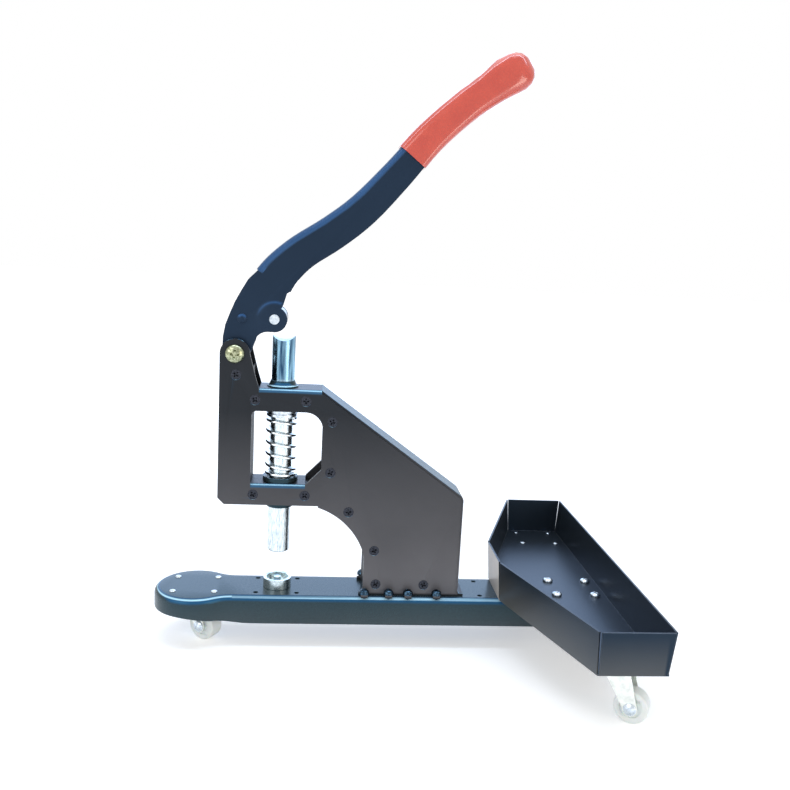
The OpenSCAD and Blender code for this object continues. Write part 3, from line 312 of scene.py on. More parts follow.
def satin_paint(name, colour, edge_highlight, roughness, tint, level=0.5, marks=()):
    """Sprayed enamel: its colour, the paler one painted on edges as a highlight, how dull it is,
    the tint and the level of its sheen, and the marks on it."""
    finish, tree, place = blank(name)
    ground = marked(tree, place, linear(colour), marks) if marks else linear(colour)[:3]
    cloud, peel, grain = [
        add(tree, "ShaderNodeTexNoise", {"Vector": place, "Scale": 1 / (wide * MM), "Detail": fine})
        for wide, fine in ((CLOUD_MM, 3), (PEEL_MM, 2), (GRAIN_MM, 1))]
    rounded = add(tree, "ShaderNodeBevel", {"Radius": EDGE_MM * MM}, samples=4)
    true_normal = add(tree, "ShaderNodeNewGeometry").outputs["Normal"]
    likeness = add(tree, "ShaderNodeVectorMath", {0: rounded.outputs[0], 1: true_normal},
                   operation="DOT_PRODUCT")
    # Painted highlight: a paler colour along sharp edges, where the bevelled normal turns.
    edge = add(tree, "ShaderNodeMapRange",
               {"Value": likeness.outputs["Value"], "From Min": 0.995, "From Max": 0.9,
                "To Min": 0, "To Max": EDGE_HIGHLIGHT_SHARE})
    shade = add(tree, "ShaderNodeMapRange",
                {"Value": cloud.outputs[0], **PAINT_NOISE, "To Min": 0.88, "To Max": 1.14})
    clouded = add(tree, "ShaderNodeVectorMath", {0: ground, "Scale": shade.outputs[0]},
                  operation="SCALE")
    coloured = add(tree, "ShaderNodeMix",
                   {"Factor": edge.outputs[0], 6: clouded.outputs[0], 7: linear(edge_highlight)},
                   data_type="RGBA")
    dull = add(tree, "ShaderNodeMapRange", {"Value": grain.outputs[0], **PAINT_NOISE,
                                            "To Min": roughness - 0.05, "To Max": roughness + 0.06})
    skin = add(tree, "ShaderNodeBump", {"Height": peel.outputs[0], "Strength": 0.05,
                                        "Distance": 0.2 * MM, "Normal": rounded.outputs[0]})
    shader = add(tree, "ShaderNodeBsdfPrincipled",
                 {"Base Color": coloured.outputs[2], "Roughness": dull.outputs[0],
                  "Normal": skin.outputs[0], "IOR": 1.5, "Specular IOR Level": level,
                  "Specular Tint": linear(tint)})
    add(tree, "ShaderNodeOutputMaterial", {"Surface": shader.outputs[0]})
    return finish


body_enamel = satin_paint(
    "satin_enamel_charcoal", "#101418", "#6A7078", 0.38, "#E6ECF8", level=0.36,
    # Painted reflection: the body's walls grow paler towards the foot; the lowest strip keeps the
    # dark ground colour.
    marks=[paler_low_walls("#626164", 210, 65, unmarked_below(47.5)),
           # The bends get a painted blue sheen and a painted highlight line.
           ("#2C5A7C", *PAINTED_BEND_SHEEN), ("#A4D8F4", *PAINTED_BEND_HIGHLIGHT)])
base_enamel = satin_paint(
    "satin_enamel_blue_black", "#2A353A", "#4F7FA8", 0.26, "#86CAE2",
    # The bends get a painted blue sheen and a painted highlight line.
    marks=[paler_low_walls("#474B4D", 50, 20), ("#23527A", *PAINTED_BEND_SHEEN), ("#BCE8FC", *PAINTED_BEND_HIGHLIGHT)])
lever_enamel = satin_paint(
    "satin_enamel_navy_black", "#1B2634", "#3D5C80", 0.34, "#8FB4E4",
    # The lever's edges get a bluer painted highlight.
    marks=[("#2C4E78", *LEVER_EDGE_HIGHLIGHT)])
tray_enamel = satin_paint(
    "satin_enamel_soot", "#1D2125", "#9AA0A6", 0.34, "#86BEF6",
    marks=[paler_low_walls("#63615B", 80, 30, none_past("x", 199), none_past("y", 28)),
           # The tray's wall that faces the front gets a pale painted reflection.
           ("#C4B6A4", *TRAY_FRONT_WALL_REFLECTION)])
# Painted shade: a darker, duller copy of the body paint for parts inside the machine.
shaded_inner_enamel = satin_paint("satin_enamel_inside", "#0E1114", "#5A6068", 0.5, "#C9D2E2", level=0.15)
print("five paints")

# %% [markdown]
# ## Bright and dark metal
# A turned or drawn bar keeps fine marks along its length, a plated part is smoother and mottled,
# and a blackened screw is dull. All of them are metal, so the colour is the colour of the
# reflection. The marks are noise stretched along one direction, and they change the roughness and
# tip the normal a little. The ram's upper end gets dark blue streaks along its length: a painted
# reflection.

# %% Metals
STREAK_MM = (3, 3, 40)
STREAK_FADE_MM = 4


def painted_reflection_streaks(tree, place, coloured, colour, dark, height_mm):
    """A metal's colour with painted reflection streaks, dark and blue, above a height."""
    streaked = add(tree, "ShaderNodeMapping",
                   {"Vector": place, "Scale": [1 / (m * MM) for m in STREAK_MM]})
    streaks = add(tree, "ShaderNodeTexNoise",
                  {"Vector": streaked.outputs[0], "Scale": 1, "Detail": 3})
    deep = add(tree, "ShaderNodeMapRange",
               {"Value": streaks.outputs[0], "From Min": 0.35, "From Max": 0.62})
    streak_colour = add(tree, "ShaderNodeMix",
                 {"Factor": deep.outputs[0], 6: linear(dark), 7: linear(colour)}, data_type="RGBA")
    height = add(tree, "ShaderNodeSeparateXYZ", {"Vector": place}).outputs["Z"]
    streaked_share = add(tree, "ShaderNodeMapRange",
                 {"Value": height, "From Min": (height_mm - STREAK_FADE_MM) * MM,
                  "From Max": (height_mm + STREAK_FADE_MM) * MM})
    return add(tree, "ShaderNodeMix",
               {"Factor": streaked_share.outputs[0], 6: coloured.outputs[2], 7: streak_colour.outputs[2]},
               data_type="RGBA")


def worked_metal(name, colour, dark, roughness, mark_mm, bump=0.1, spread=0.12, reflection_streaks=None):
    """Metal with marks of a given size in x, y and z, between two colours. The last argument
    gives the colour and the dark of painted reflection streaks on its upper end, and the height in
    mm where they start."""
    finish, tree, place = blank(name)
    scaled = add(tree, "ShaderNodeMapping",
                 {"Vector": place, "Scale": [1 / (m * MM) for m in mark_mm]})
    marks = add(tree, "ShaderNodeTexNoise", {"Vector": scaled.outputs[0], "Scale": 1, "Detail": 4})
    rounded = add(tree, "ShaderNodeBevel", {"Radius": EDGE_MM * MM}, samples=4)
    fade = add(tree, "ShaderNodeMapRange",
               {"Value": marks.outputs[0], "From Min": 0.32, "From Max": 0.68})
    coloured = add(tree, "ShaderNodeMix",
                   {"Factor": fade.outputs[0], 6: linear(dark), 7: linear(colour)},
                   data_type="RGBA")
    if reflection_streaks:
        coloured = painted_reflection_streaks(tree, place, coloured, *reflection_streaks)
    dull = add(tree, "ShaderNodeMapRange",
               {"Value": marks.outputs[0], "From Min": 0.25, "From Max": 0.75,
                "To Min": roughness + spread, "To Max": roughness - spread / 2})
    skin = add(tree, "ShaderNodeBump", {"Height": marks.outputs[0], "Strength": bump,
                                        "Distance": 0.1 * MM, "Normal": rounded.outputs[0]})
    shader = add(tree, "ShaderNodeBsdfPrincipled",
                 {"Base Color": coloured.outputs[2], "Metallic": 1.0, "Roughness": dull.outputs[0],
                  "Normal": skin.outputs[0]})
    add(tree, "ShaderNodeOutputMaterial", {"Surface": shader.outputs[0]})
    return finish


# The ram's bar; above 234 mm it gets painted dark blue reflection streaks.
drawn_steel = worked_metal("drawn_steel_bar", "#F4F8F7", "#B4C6D0", 0.2, (1.1, 1.1, 6), bump=0.3,
                           spread=0.14, reflection_streaks=("#8AB4CC", "#1F3D5A", 234))
spring_steel = worked_metal("bright_spring_wire", "#FDFFFF", "#DCE7EE", 0.16, (2, 2, 1))
die_steel = worked_metal("turned_tool_steel", "#A9ADB0", "#6E7478", 0.26, (3, 3, 0.6), bump=0.15)
ground_steel = worked_metal("ground_tool_steel", "#E2ECEE", "#A3B6BC", 0.22, (3, 3, 0.6), bump=0.12)
blued_steel = worked_metal("blued_screw_steel", "#4A667C", "#101A26", 0.14, [1.4] * 3, bump=0.15)
bright_zinc = worked_metal("bright_zinc_plate", "#DDE6EE", "#B4C0CB", 0.22, [2.5] * 3)
yellow_zinc = worked_metal("yellow_zinc_plate", "#BDC1A2", "#757A5E", 0.2, [1.6] * 3, bump=0.12)
fork_zinc = worked_metal("pressed_zinc_plate", "#F3F5F0", "#D6DAD5", 0.3, [4] * 3, bump=0.15)
black_oxide = worked_metal("black_oxide_steel", "#44474F", "#25272E", 0.36, [1] * 3, bump=0.2)
print("nine metals")

# %% [markdown]
# ## Two plastics
# The grip is soft vinyl: the warm lever is dipped, and the vinyl sets with a wet gloss and slow
# ripples. The wheels are moulded nylon, milky white, a little translucent and fairly dull.

# %% Plastics
RIPPLE_MM = 9
FLOW_MM = 7


def dipped_vinyl(name, colour, deep):
    """Glossy soft vinyl with slow ripples."""
    finish, tree, place = blank(name)
    ripple = add(tree, "ShaderNodeTexNoise",
                 {"Vector": place, "Scale": 1 / (RIPPLE_MM * MM), "Detail": 2})
    fleck = add(tree, "ShaderNodeTexNoise",
                {"Vector": place, "Scale": 1 / (GRAIN_MM * MM), "Detail": 1})
    coloured = add(tree, "ShaderNodeMix",
                   {"Factor": ripple.outputs[0], 6: linear(deep), 7: linear(colour)},
                   data_type="RGBA")
    dull = add(tree, "ShaderNodeMapRange",
               {"Value": fleck.outputs[0], "To Min": 0.14, "To Max": 0.24})
    skin = add(tree, "ShaderNodeBump",
               {"Height": ripple.outputs[0], "Strength": 0.12, "Distance": 1 * MM})
    shader = add(tree, "ShaderNodeBsdfPrincipled",
                 {"Base Color": coloured.outputs[2], "Roughness": dull.outputs[0], "IOR": 1.53,
                  "Normal": skin.outputs[0], "Coat Weight": 0.8, "Coat Roughness": 0.03})
    add(tree, "ShaderNodeOutputMaterial", {"Surface": shader.outputs[0]})
    return finish


def moulded_nylon(name, colour, shadow):
    """Milky moulded nylon with faint flow marks."""
    finish, tree, place = blank(name)
    flow = add(tree, "ShaderNodeTexNoise",
               {"Vector": place, "Scale": 1 / (FLOW_MM * MM), "Detail": 3})
    pits = add(tree, "ShaderNodeTexNoise",
               {"Vector": place, "Scale": 1 / (GRAIN_MM * MM), "Detail": 2})
    coloured = add(tree, "ShaderNodeMix",
                   {"Factor": flow.outputs[0], 6: linear(shadow), 7: linear(colour)},
                   data_type="RGBA")
    dull = add(tree, "ShaderNodeMapRange",
               {"Value": pits.outputs[0], "To Min": 0.4, "To Max": 0.58})
    skin = add(tree, "ShaderNodeBump",
               {"Height": pits.outputs[0], "Strength": 0.06, "Distance": 0.1 * MM})
    shader = add(tree, "ShaderNodeBsdfPrincipled",
                 {"Base Color": coloured.outputs[2], "Roughness": dull.outputs[0], "IOR": 1.53,
                  "Normal": skin.outputs[0], "Subsurface Weight": 0.15,
                  "Subsurface Scale": 3 * MM})
    add(tree, "ShaderNodeOutputMaterial", {"Surface": shader.outputs[0]})
    return finish


red_vinyl = dipped_vinyl("dipped_red_vinyl", "#D84E36", "#C03827")
white_nylon = moulded_nylon("moulded_white_nylon", "#FAFDFC", "#E6EFED")
print("two plastics")

# %% [markdown]
# ## Forms that the press and the hand leave
# Some forms of the real machine are finer than the solids: the base's side wall gets shallower
# round the nose, the foot is cut back to a lug at each screw, the tray's walls nearly meet at its
# corners, and the dipped grip has a waist. They could be modelled anew. Moving a few points of a
# solid's copy, or cutting boxes out of it, is less work and keeps all the rest in its place.
# Lengths along the machine are given in millimetres behind the ram's axis, where the work is done.

# %% Places behind the ram
RAM_X_MM = 98.1623
WELD = 0.002 * MM


def ram_x(x_mm):
    """A place in metres from its distance in mm behind the ram's axis."""
    return (x_mm - RAM_X_MM) * MM


print(f"the ram stands at {ram_x(0):.4f} m")

# %% Nose and lower bush
SKIRT_STARTS_MM, SKIRT_ENDS_MM, SKIRT_LIFT_MM = -20, -90, 8.5
SKIRT_CUTS = 9
SKIRT_EDGE_MM = 1
LIP_MM = 2
LIP_EDGE_MM = 0.5


def lift_skirt(shape):
    """The base's side wall gets shallower round the nose."""
    start, end = ram_x(SKIRT_STARTS_MM), ram_x(SKIRT_ENDS_MM)
    for step in range(SKIRT_CUTS):
        x_mm = SKIRT_STARTS_MM + (SKIRT_ENDS_MM - SKIRT_STARTS_MM) * step / (SKIRT_CUTS - 1)
        everything = shape.verts[:] + shape.edges[:] + shape.faces[:]
        bmesh.ops.bisect_plane(shape, geom=everything, plane_co=(ram_x(x_mm), 0, 0),
                               plane_no=(1, 0, 0))
    foot = min(v.co.z for v in shape.verts)
    for vert in shape.verts:
        if vert.co.z < foot + SKIRT_EDGE_MM * MM:
            share = min(max((vert.co.x - start) / (end - start), 0), 1)
            vert.co.z += SKIRT_LIFT_MM * MM * (1 - math.cos(math.pi * share)) / 2


def longer_lip(shape):
    """The lower bush's lip hangs a little lower."""
    foot = min(v.co.z for v in shape.verts)
    for vert in shape.verts:
        if vert.co.z < foot + LIP_EDGE_MM * MM:
            vert.co.z -= LIP_MM * MM


print(f"the nose's wall rises by {SKIRT_LIFT_MM} mm, the lip drops by {LIP_MM} mm")

# %% Tray corners and window
TRAY_CORNERS_MM = ((301.7, -162), (301.7, 162), (246, 162), (199, 26), (199, -26), (246, -162))
TRAY_WALL_MM, TRAY_FLARE_DEGREES = 36, 4.5
TRAY_RIM_MM = 3
CORNER_REACH_MM = 9
SLIT_SHARE = 0.75
SLOPE_X_MM, SLOPE_Z_MM = (22.1, 35.7), (146.8, 178)
SLOPE_SPARE_MM = 0.8
SLOPE_DROP_MM = 9.9


def close_slits(shape):
    """The tray's walls reach further at their tops, so that the slits between them are narrow."""
    rim = max(v.co.z for v in shape.verts) - TRAY_RIM_MM * MM
    corners = [Vector((ram_x(x), y * MM)) for x, y in TRAY_CORNERS_MM]
    slope = TRAY_WALL_MM * MM * math.sin(math.radians(TRAY_FLARE_DEGREES))
    for i, corner in enumerate(corners):
        back = (corner - corners[i - 1]).normalized()
        ahead = (corner - corners[(i + 1) % len(corners)]).normalized()
        reach = slope * math.tan((math.pi - math.acos(back.dot(ahead))) / 2)
        for vert in shape.verts:
            spot = vert.co.xy - corner
            if vert.co.z > rim and spot.length < CORNER_REACH_MM * MM:
                vert.co.xy += min((back, ahead), key=spot.dot) * reach * SLIT_SHARE


def flatter_slope(shape):
    """The window's rear lower corner is cut by a flatter slope."""
    (x_low, x_high), (z_low, z_high) = SLOPE_X_MM, SLOPE_Z_MM
    for vert in shape.verts:
        x, z = vert.co.x / MM + RAM_X_MM, vert.co.z / MM
        if x_low < x < x_high + SLOPE_SPARE_MM and z_low < z < z_high:
            vert.co.z -= SLOPE_DROP_MM * MM * min((x - x_low) / (x_high - x_low), 1)


print(f"{len(TRAY_CORNERS_MM)} tray corners, and a slope that ends {SLOPE_DROP_MM} mm lower")

# %% Grip
GRIP_SWELLS = ((-1.1, 0.63, 0.09), (1.4, 0.81, 0.055))
GRIP_STEP = 0.02


def waisted_grip(shape):
    """The dipped grip narrows a little before its bulb, and the bulb has a fuller shoulder.
    A swell is its size in mm, and its middle and width as shares of the grip's length."""
    flat = [Vector((v.co.x, v.co.z)) for v in shape.verts]
    start, tip = min(flat, key=sum), max(flat, key=sum)
    along = (tip - start).normalized()
    up = Vector((-along.y, along.x))
    shares = [(spot - start).dot(along) / (tip - start).length for spot in flat]
    heights = [(spot - start).dot(up) for spot in flat]
    for vert, share, height in zip(shape.verts, shares, heights):
        beside = [h for s, h in zip(shares, heights) if abs(s - share) < GRIP_STEP]
        middle, half = (max(beside) + min(beside)) / 2, (max(beside) - min(beside)) / 2
        upper = min(max((height - middle) / max(half, WELD), 0), 1)
        swell = sum(size * math.exp(-((share - place) / width) ** 2)
                    for size, place, width in GRIP_SWELLS)
        vert.co.x += up.x * swell * upper * MM
        vert.co.z += up.y * swell * upper * MM


TRIMMED = {"base_shell": lift_skirt, "lower_bush": longer_lip, "tray_pan": close_slits,
           "side_plate_near": flatter_slope, "side_plate_far": flatter_slope,
           "grip": waisted_grip}
print(f"{len(TRIMMED)} solids to trim")

# %% Notches between the foot's lugs
FOOT_SCREWS_MM = (77.8, 99.4, 116.7, 142.4)
LUG_HALF_MM = 3
FLANGE_MM = (72.4, 163)
FLANGE_SIDE_MM = (18.02, 27)
FLANGE_HEIGHT_MM = (46.9, 51)


def plain_mesh(obj):
    """An object's mesh with its modifiers applied."""
    ready = obj.evaluated_get(bpy.context.evaluated_depsgraph_get())
    return bpy.data.meshes.new_from_object(ready)


def cut_away(piece, tool, use_self=False):
    """Cuts a tool's form out of a piece."""
    mesh = bpy.data.meshes.new("cutting_tool")
    tool.to_mesh(mesh)
    tool.free()
    cutter = bpy.data.objects.new("cutting_tool", mesh)
    scene.collection.objects.link(cutter)
    cut = piece.modifiers.new("cut", "BOOLEAN")
    cut.object = cutter
    cut.operation = "DIFFERENCE"
    cut.use_self = use_self
    mesh = plain_mesh(piece)
    piece.modifiers.clear()
    piece.data = mesh
    bpy.data.objects.remove(cutter)


def notch(piece, boxes):
    """Cuts boxes, given by two corners in metres, out of a piece."""
    tool = bmesh.new()
    for low, high in boxes:
        block = bmesh.ops.create_cube(tool, size=1)["verts"]
        middle, size = (Vector(low) + Vector(high)) / 2, Vector(high) - Vector(low)
        for vert in block:
            vert.co = middle + Vector(a * b for a, b in zip(vert.co, size))
    cut_away(piece, tool)


lug_edges = [x + side * LUG_HALF_MM for x in FOOT_SCREWS_MM for side in (-1, 1)]
gaps = list(zip([FLANGE_MM[0]] + lug_edges[1::2], lug_edges[0::2] + [FLANGE_MM[1]]))
z_low, z_high = [z * MM for z in FLANGE_HEIGHT_MM]
NOTCHED = {}
for node, side in (("side_plate_near", -1), ("side_plate_far", 1)):
    y_low, y_high = sorted(y * side * MM for y in FLANGE_SIDE_MM)
    NOTCHED[node] = [((ram_x(a), y_low, z_low), (ram_x(b), y_high, z_high)) for a, b in gaps]
print(f"{len(gaps)} notches in each foot")

# %% [markdown]
# ## Soft edges on folded sheet and blocks
# A CAD solid arrives as loose triangles with knife edges. Real sheet is folded and deburred, so
# each visible solid is copied, its corners are welded, its flat faces are joined again, and a
# narrow bevel goes along the sharp edges. Curved faces are shaded smooth. The copy stands for the
# solid and rides on the same body.

# %% How a solid is dressed
FLAT_DEGREES = 0.6
SHARP_DEGREES = 32


def welded(node):
    """A CAD solid's mesh as one welded, editable mesh."""
    loose = bmesh.new()
    loose.from_mesh(SOLIDS[node].data)
    bmesh.ops.remove_doubles(loose, verts=loose.verts, dist=WELD)
    return loose


def join_flat_faces(shape):
    """Joins faces that lie in one plane."""
    bmesh.ops.dissolve_limit(shape, angle_limit=math.radians(FLAT_DEGREES), verts=shape.verts,
                             edges=shape.edges)


def settle(piece, finish, slot, body, *nodes):
    """Gives a finished piece its material, its body and the solids it stands for. slot is not used.
    """
    piece.data.materials.clear()
    piece.data.materials.append(finish)
    for face in piece.data.polygons:
        face.material_index = 0
    if nodes:
        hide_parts(*nodes)
    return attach(piece, body)


def dress(node, finish, slot, edge_mm=0.3, sharp=SHARP_DEGREES):
    """A copy of a solid with welded corners, smooth curves and softened edges."""
    shape = welded(node)
    join_flat_faces(shape)
    if node in TRIMMED:
        TRIMMED[node](shape)
    join_flat_faces(shape)
    mesh = bpy.data.meshes.new(f"{node}_dressed")
    shape.to_mesh(mesh)
    shape.free()
    piece = bpy.data.objects.new(mesh.name, mesh)
    scene.collection.objects.link(piece)
    if node in NOTCHED:
        notch(piece, NOTCHED[node])
    piece.data.shade_smooth()
    piece.data.set_sharp_from_angle(angle=math.radians(sharp))
    if edge_mm:
        soften = piece.modifiers.new("soften", "BEVEL")
        soften.width = edge_mm * MM
        soften.segments = 2
        soften.limit_method = "ANGLE"
        soften.angle_limit = math.radians(sharp)
        soften.harden_normals = True
        soften.use_clamp_overlap = True
    return settle(piece, finish, slot, BODY_OF[node], node)


print("ready to dress")

# %% Dress the solids
DRESSED = [
    ("base_shell", base_enamel, "satin_black_paint", 0.25),
    ("side_plate_near", body_enamel, "satin_black_paint", 0.3),
    ("side_plate_far", body_enamel, "satin_black_paint", 0.3),
    ("column_block", shaded_inner_enamel, "satin_black_paint", 0.3),
    ("upper_guide_block", body_enamel, "satin_black_paint", 0.3),
    ("lower_guide_block", body_enamel, "satin_black_paint", 0.3),
    ("window_rib", shaded_inner_enamel, "satin_black_paint", 0.3),
    ("throat_rib", shaded_inner_enamel, "satin_black_paint", 0),
    ("foot_block", shaded_inner_enamel, "satin_black_paint", 0.3),
    ("rear_cover", body_enamel, "satin_black_paint", 0.3),
    ("throat_liner", shaded_inner_enamel, "satin_black_paint", 0),
    ("upper_bush", base_enamel, "satin_black_paint", 0.2),
    ("lower_bush", base_enamel, "satin_black_paint", 0.2),
    ("pivot_nut", yellow_zinc, "yellow_zinc", 0.3),
    ("pivot_sleeve", die_steel, "die_steel", 0.2),
    ("lower_die", ground_steel, "die_steel", 0.3),
    ("die_nut", die_steel, "die_steel", 0.3),
    ("ram", drawn_steel, "bright_steel", 0.2),
    ("ram_collar", bright_zinc, "bright_steel", 0.2),
    ("lever_channel", lever_enamel, "lever_paint", 0.35),
    ("roller", die_steel, "die_steel", 0.3),
    ("roller_pin", bright_zinc, "bright_steel", 0.4),
    ("lever_rivet", lever_enamel, "lever_paint", 0.1),
    ("tray_pan", tray_enamel, "tray_paint", 0.25),
    ("tray_nuts", bright_zinc, "bright_zinc", 0.2),
]
CASTERS = ("nose", "near", "far")
for caster in CASTERS:
    DRESSED += [
        (f"{caster}_caster_plate", fork_zinc, "caster_zinc", 0.25),
        (f"{caster}_caster_fork", fork_zinc, "caster_zinc", 0.3),
        (f"{caster}_caster_axle", bright_zinc, "bright_zinc", 0.1),
        (f"{caster}_caster_wheel", white_nylon, "white_nylon", 0),
    ]
for node, finish, slot, edge_mm in DRESSED:
    dress(node, finish, slot, edge_mm)
dress("grip", red_vinyl, "grip_red", 0, sharp=60)
print(f"{len(DRESSED) + 1} solids dressed")

# %% [markdown]
# ## The return spring
# A compression spring is one wire wound round a mandrel. Its end coils lie dead, close on
# themselves, so that it stands square. Geometry Nodes wind it from one spiral: its height is
# spread over the live coils, and a small circle swept along gives the wire.

# %% Helpers for Geometry Nodes
def tree_with(name, sizes):
    """A Geometry Nodes tree with named inputs, given as name to kind."""
    tree = bpy.data.node_groups.new(name, "GeometryNodeTree")
    for label, kind in sizes.items():
        tree.interface.new_socket(label, in_out="INPUT", socket_type=f"NodeSocket{kind}")
    tree.interface.new_socket("Made", in_out="OUTPUT", socket_type="NodeSocketGeometry")
    return tree, add(tree, "NodeGroupInput").outputs


def made_by(tree, carrier, **values):
    """The plain mesh that a tree makes on a carrier object, its inputs set by identifier."""
    modifier = carrier.modifiers.new(tree.name, "NODES")
    modifier.node_group = tree
    keys = {item.name: item.identifier for item in tree.interface.items_tree
            if item.in_out == "INPUT"}
    for label, value in values.items():
        modifier[keys[label.replace("_", " ")]] = value
    mesh = plain_mesh(carrier)
    carrier.modifiers.remove(modifier)
    return mesh


print("helpers ready")

# %% The spring's tree
tree, size = tree_with("wound_spring", {"Blank": "Geometry", "Coil radius": "Float",
                                        "Wire": "Float", "Turns": "Float", "Dead share": "Float",
                                        "Height": "Float", "Finish": "Material"})
spiral = add(tree, "GeometryNodeCurveSpiral",
             {"Resolution": 48, "Rotations": size["Turns"], "Start Radius": size["Coil radius"],
              "End Radius": size["Coil radius"], "Height": 0.0})
along = add(tree, "GeometryNodeSplineParameter").outputs["Factor"]
after = add(tree, "ShaderNodeMath", {0: 1.0, 1: size["Dead share"]},
            operation="SUBTRACT").outputs[0]
room = add(tree, "ShaderNodeMath", {0: size["Wire"], 1: -3.0, 2: size["Height"]},
           operation="MULTIPLY_ADD").outputs[0]
first, live, final = [
    add(tree, "ShaderNodeMapRange", {"Value": along, "From Min": start, "From Max": end,
                                     "To Min": 0.0, "To Max": rise}).outputs[0]
    for start, end, rise in ((0.0, size["Dead share"], size["Wire"]),
                             (size["Dead share"], after, room), (after, 1.0, size["Wire"]))]
lifted = add(tree, "ShaderNodeMath", {0: first, 1: live}, operation="ADD")
lifted = add(tree, "ShaderNodeMath", {0: lifted.outputs[0], 1: final}, operation="ADD")
rise = add(tree, "ShaderNodeCombineXYZ", {"Z": lifted.outputs[0]})
wound = add(tree, "GeometryNodeSetPosition",
            {"Geometry": spiral.outputs[0], "Offset": rise.outputs[0]})
half_wire = add(tree, "ShaderNodeMath", {0: size["Wire"], 1: 0.5}, operation="MULTIPLY")
round_wire = add(tree, "GeometryNodeCurvePrimitiveCircle",
                 {"Resolution": 12, "Radius": half_wire.outputs[0]})
tube = add(tree, "GeometryNodeCurveToMesh",
           {"Curve": wound.outputs[0], "Profile Curve": round_wire.outputs[0], "Fill Caps": True})
solid = add(tree, "GeometryNodeRealizeInstances", {"Geometry": tube.outputs[0]})
smooth = add(tree, "GeometryNodeSetShadeSmooth", {"Geometry": solid.outputs[0]})
coated = add(tree, "GeometryNodeSetMaterial",
             {"Geometry": smooth.outputs[0], "Material": size["Finish"]})
add(tree, "NodeGroupOutput", {"Made": coated.outputs[0]})
print(f"a tree of {len(tree.nodes)} nodes")

# %% Wind the spring
WIRE_MM = 2.6
LIVE_TURNS = 4.5
DEAD_TURNS = 0.8

seat_low, seat_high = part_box("return_spring")
turns = LIVE_TURNS + 2 * DEAD_TURNS
spring = bpy.data.objects.new("wound_return_spring", bpy.data.meshes.new("blank"))
scene.collection.objects.link(spring)
coil = made_by(tree, spring, Coil_radius=(seat_high.x - seat_low.x) / 2 - WIRE_MM / 2 * MM,
               Wire=WIRE_MM * MM, Turns=turns, Height=seat_high.z - seat_low.z,
               Dead_share=DEAD_TURNS / turns, Finish=spring_steel)
middle = ((seat_low.x + seat_high.x) / 2, 0, seat_low.z + WIRE_MM / 2 * MM)
coil.transform(Matrix.Translation(middle))
spring.data = coil
settle(spring, spring_steel, "bright_steel", BODY_OF["return_spring"], "return_spring")
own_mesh(spring)

# %% [markdown]
# ## Screws and rivets
# Screws and rivets are bought in, so each kind is drawn once and put in its places. A turned form
# is a half outline spun round the axis. The cross recess is cut with a tapered cross. Each place
# is read from the CAD solid that the screw stands for, and Geometry Nodes put one on every place,
# its recess turned at random, as a hand with a driver leaves it.

# %% Turned forms
STEPS_ROUND = 40


def turned(name, outline):
    """A closed form of revolution from an outline of radius and height in mm, top to foot."""
    form = bmesh.new()
    edge = [form.verts.new((r * MM, 0, z * MM)) for r, z in outline]
    edges = [form.edges.new(pair) for pair in zip(edge, edge[1:])]
    bmesh.ops.spin(form, geom=edge + edges, cent=(0, 0, 0), axis=(0, 0, 1), angle=math.tau,
                   steps=STEPS_ROUND, use_merge=True)
    bmesh.ops.remove_doubles(form, verts=form.verts, dist=WELD)
    bmesh.ops.recalc_face_normals(form, faces=form.faces)
    mesh = bpy.data.meshes.new(name)
    form.to_mesh(mesh)
    form.free()
    return bpy.data.objects.new(name, mesh)


def dome(radius, high, drop, steps=5):
    """Outline points of a domed head from its crown to its edge."""
    turns = [math.pi / 2 * i / steps for i in range(steps + 1)]
    return [(radius * math.sin(turn), (math.cos(turn) - 1) * (high - drop))
            for turn in turns] + [(radius, -high)]


def crisp(form):
    """Smooth curves and sharp edges for a small form."""
    form.data.shade_smooth()
    form.data.set_sharp_from_angle(angle=math.radians(SHARP_DEGREES))
    return form


print(f"turned in {STEPS_ROUND} steps")

# %% Screws with a cross recess
BOX_SIDES = ((0, 1, 2, 3), (7, 6, 5, 4), (0, 4, 5, 1), (1, 5, 6, 2), (2, 6, 7, 3), (3, 7, 4, 0))
RECESS_ABOVE_MM = 0.5
RECESS_FLARE, RECESS_TAPER = 1.06, 0.5
RECESS_WEB = 0.6


def cross_cut(form, span, width, depth):
    """Cuts a cross recess, tapered towards its foot, into a form whose head's top is at zero."""
    tool = bmesh.new()
    for turn in (0, 1):
        corners = []
        for z, share in ((RECESS_ABOVE_MM, RECESS_FLARE), (-depth, RECESS_TAPER)):
            a, b = span / 2 * share, width / 2 * (RECESS_WEB + (1 - RECESS_WEB) * share)
            if turn:
                a, b = b, a
            corners += [tool.verts.new((x * MM, y * MM, z * MM))
                        for x, y in ((-a, -b), (a, -b), (a, b), (-a, b))]
        for side in BOX_SIDES:
            tool.faces.new([corners[i] for i in side])
    bmesh.ops.recalc_face_normals(tool, faces=tool.faces)
    scene.collection.objects.link(form)
    cut_away(form, tool, use_self=True)
    scene.collection.objects.unlink(form)
    return form


countersunk = crisp(cross_cut(turned("countersunk_screw", [
    (0, 0), (4.2, 0), (4.5, -0.25), (4.5, -0.35), (2.5, -2.4), (2.5, -11.6), (2.1, -12),
    (0, -12)]), span=5.2, width=1.3, depth=1.9))
foot_pan = crisp(cross_cut(turned("foot_screw", dome(4.5, 4.6, 1.2) + [
    (1.7, -4.6), (1.7, -13.3), (1.3, -13.6), (0, -13.6)]), span=5.0, width=1.2, depth=2.2))
pivot_pan = crisp(cross_cut(turned("pivot_screw", dome(8, 5, 1.4) + [
    (4, -5), (4, -48.4), (3.3, -49), (0, -49)]), span=9, width=2.2, depth=2.4))
tray_pan_screw = crisp(cross_cut(turned("tray_screw", dome(4.7, 3.4, 1.0) + [
    (2.5, -3.4), (2.5, -12), (2, -12.4), (0, -12.4)]), span=5.2, width=1.2, depth=1.6))
print("four kinds of screw")

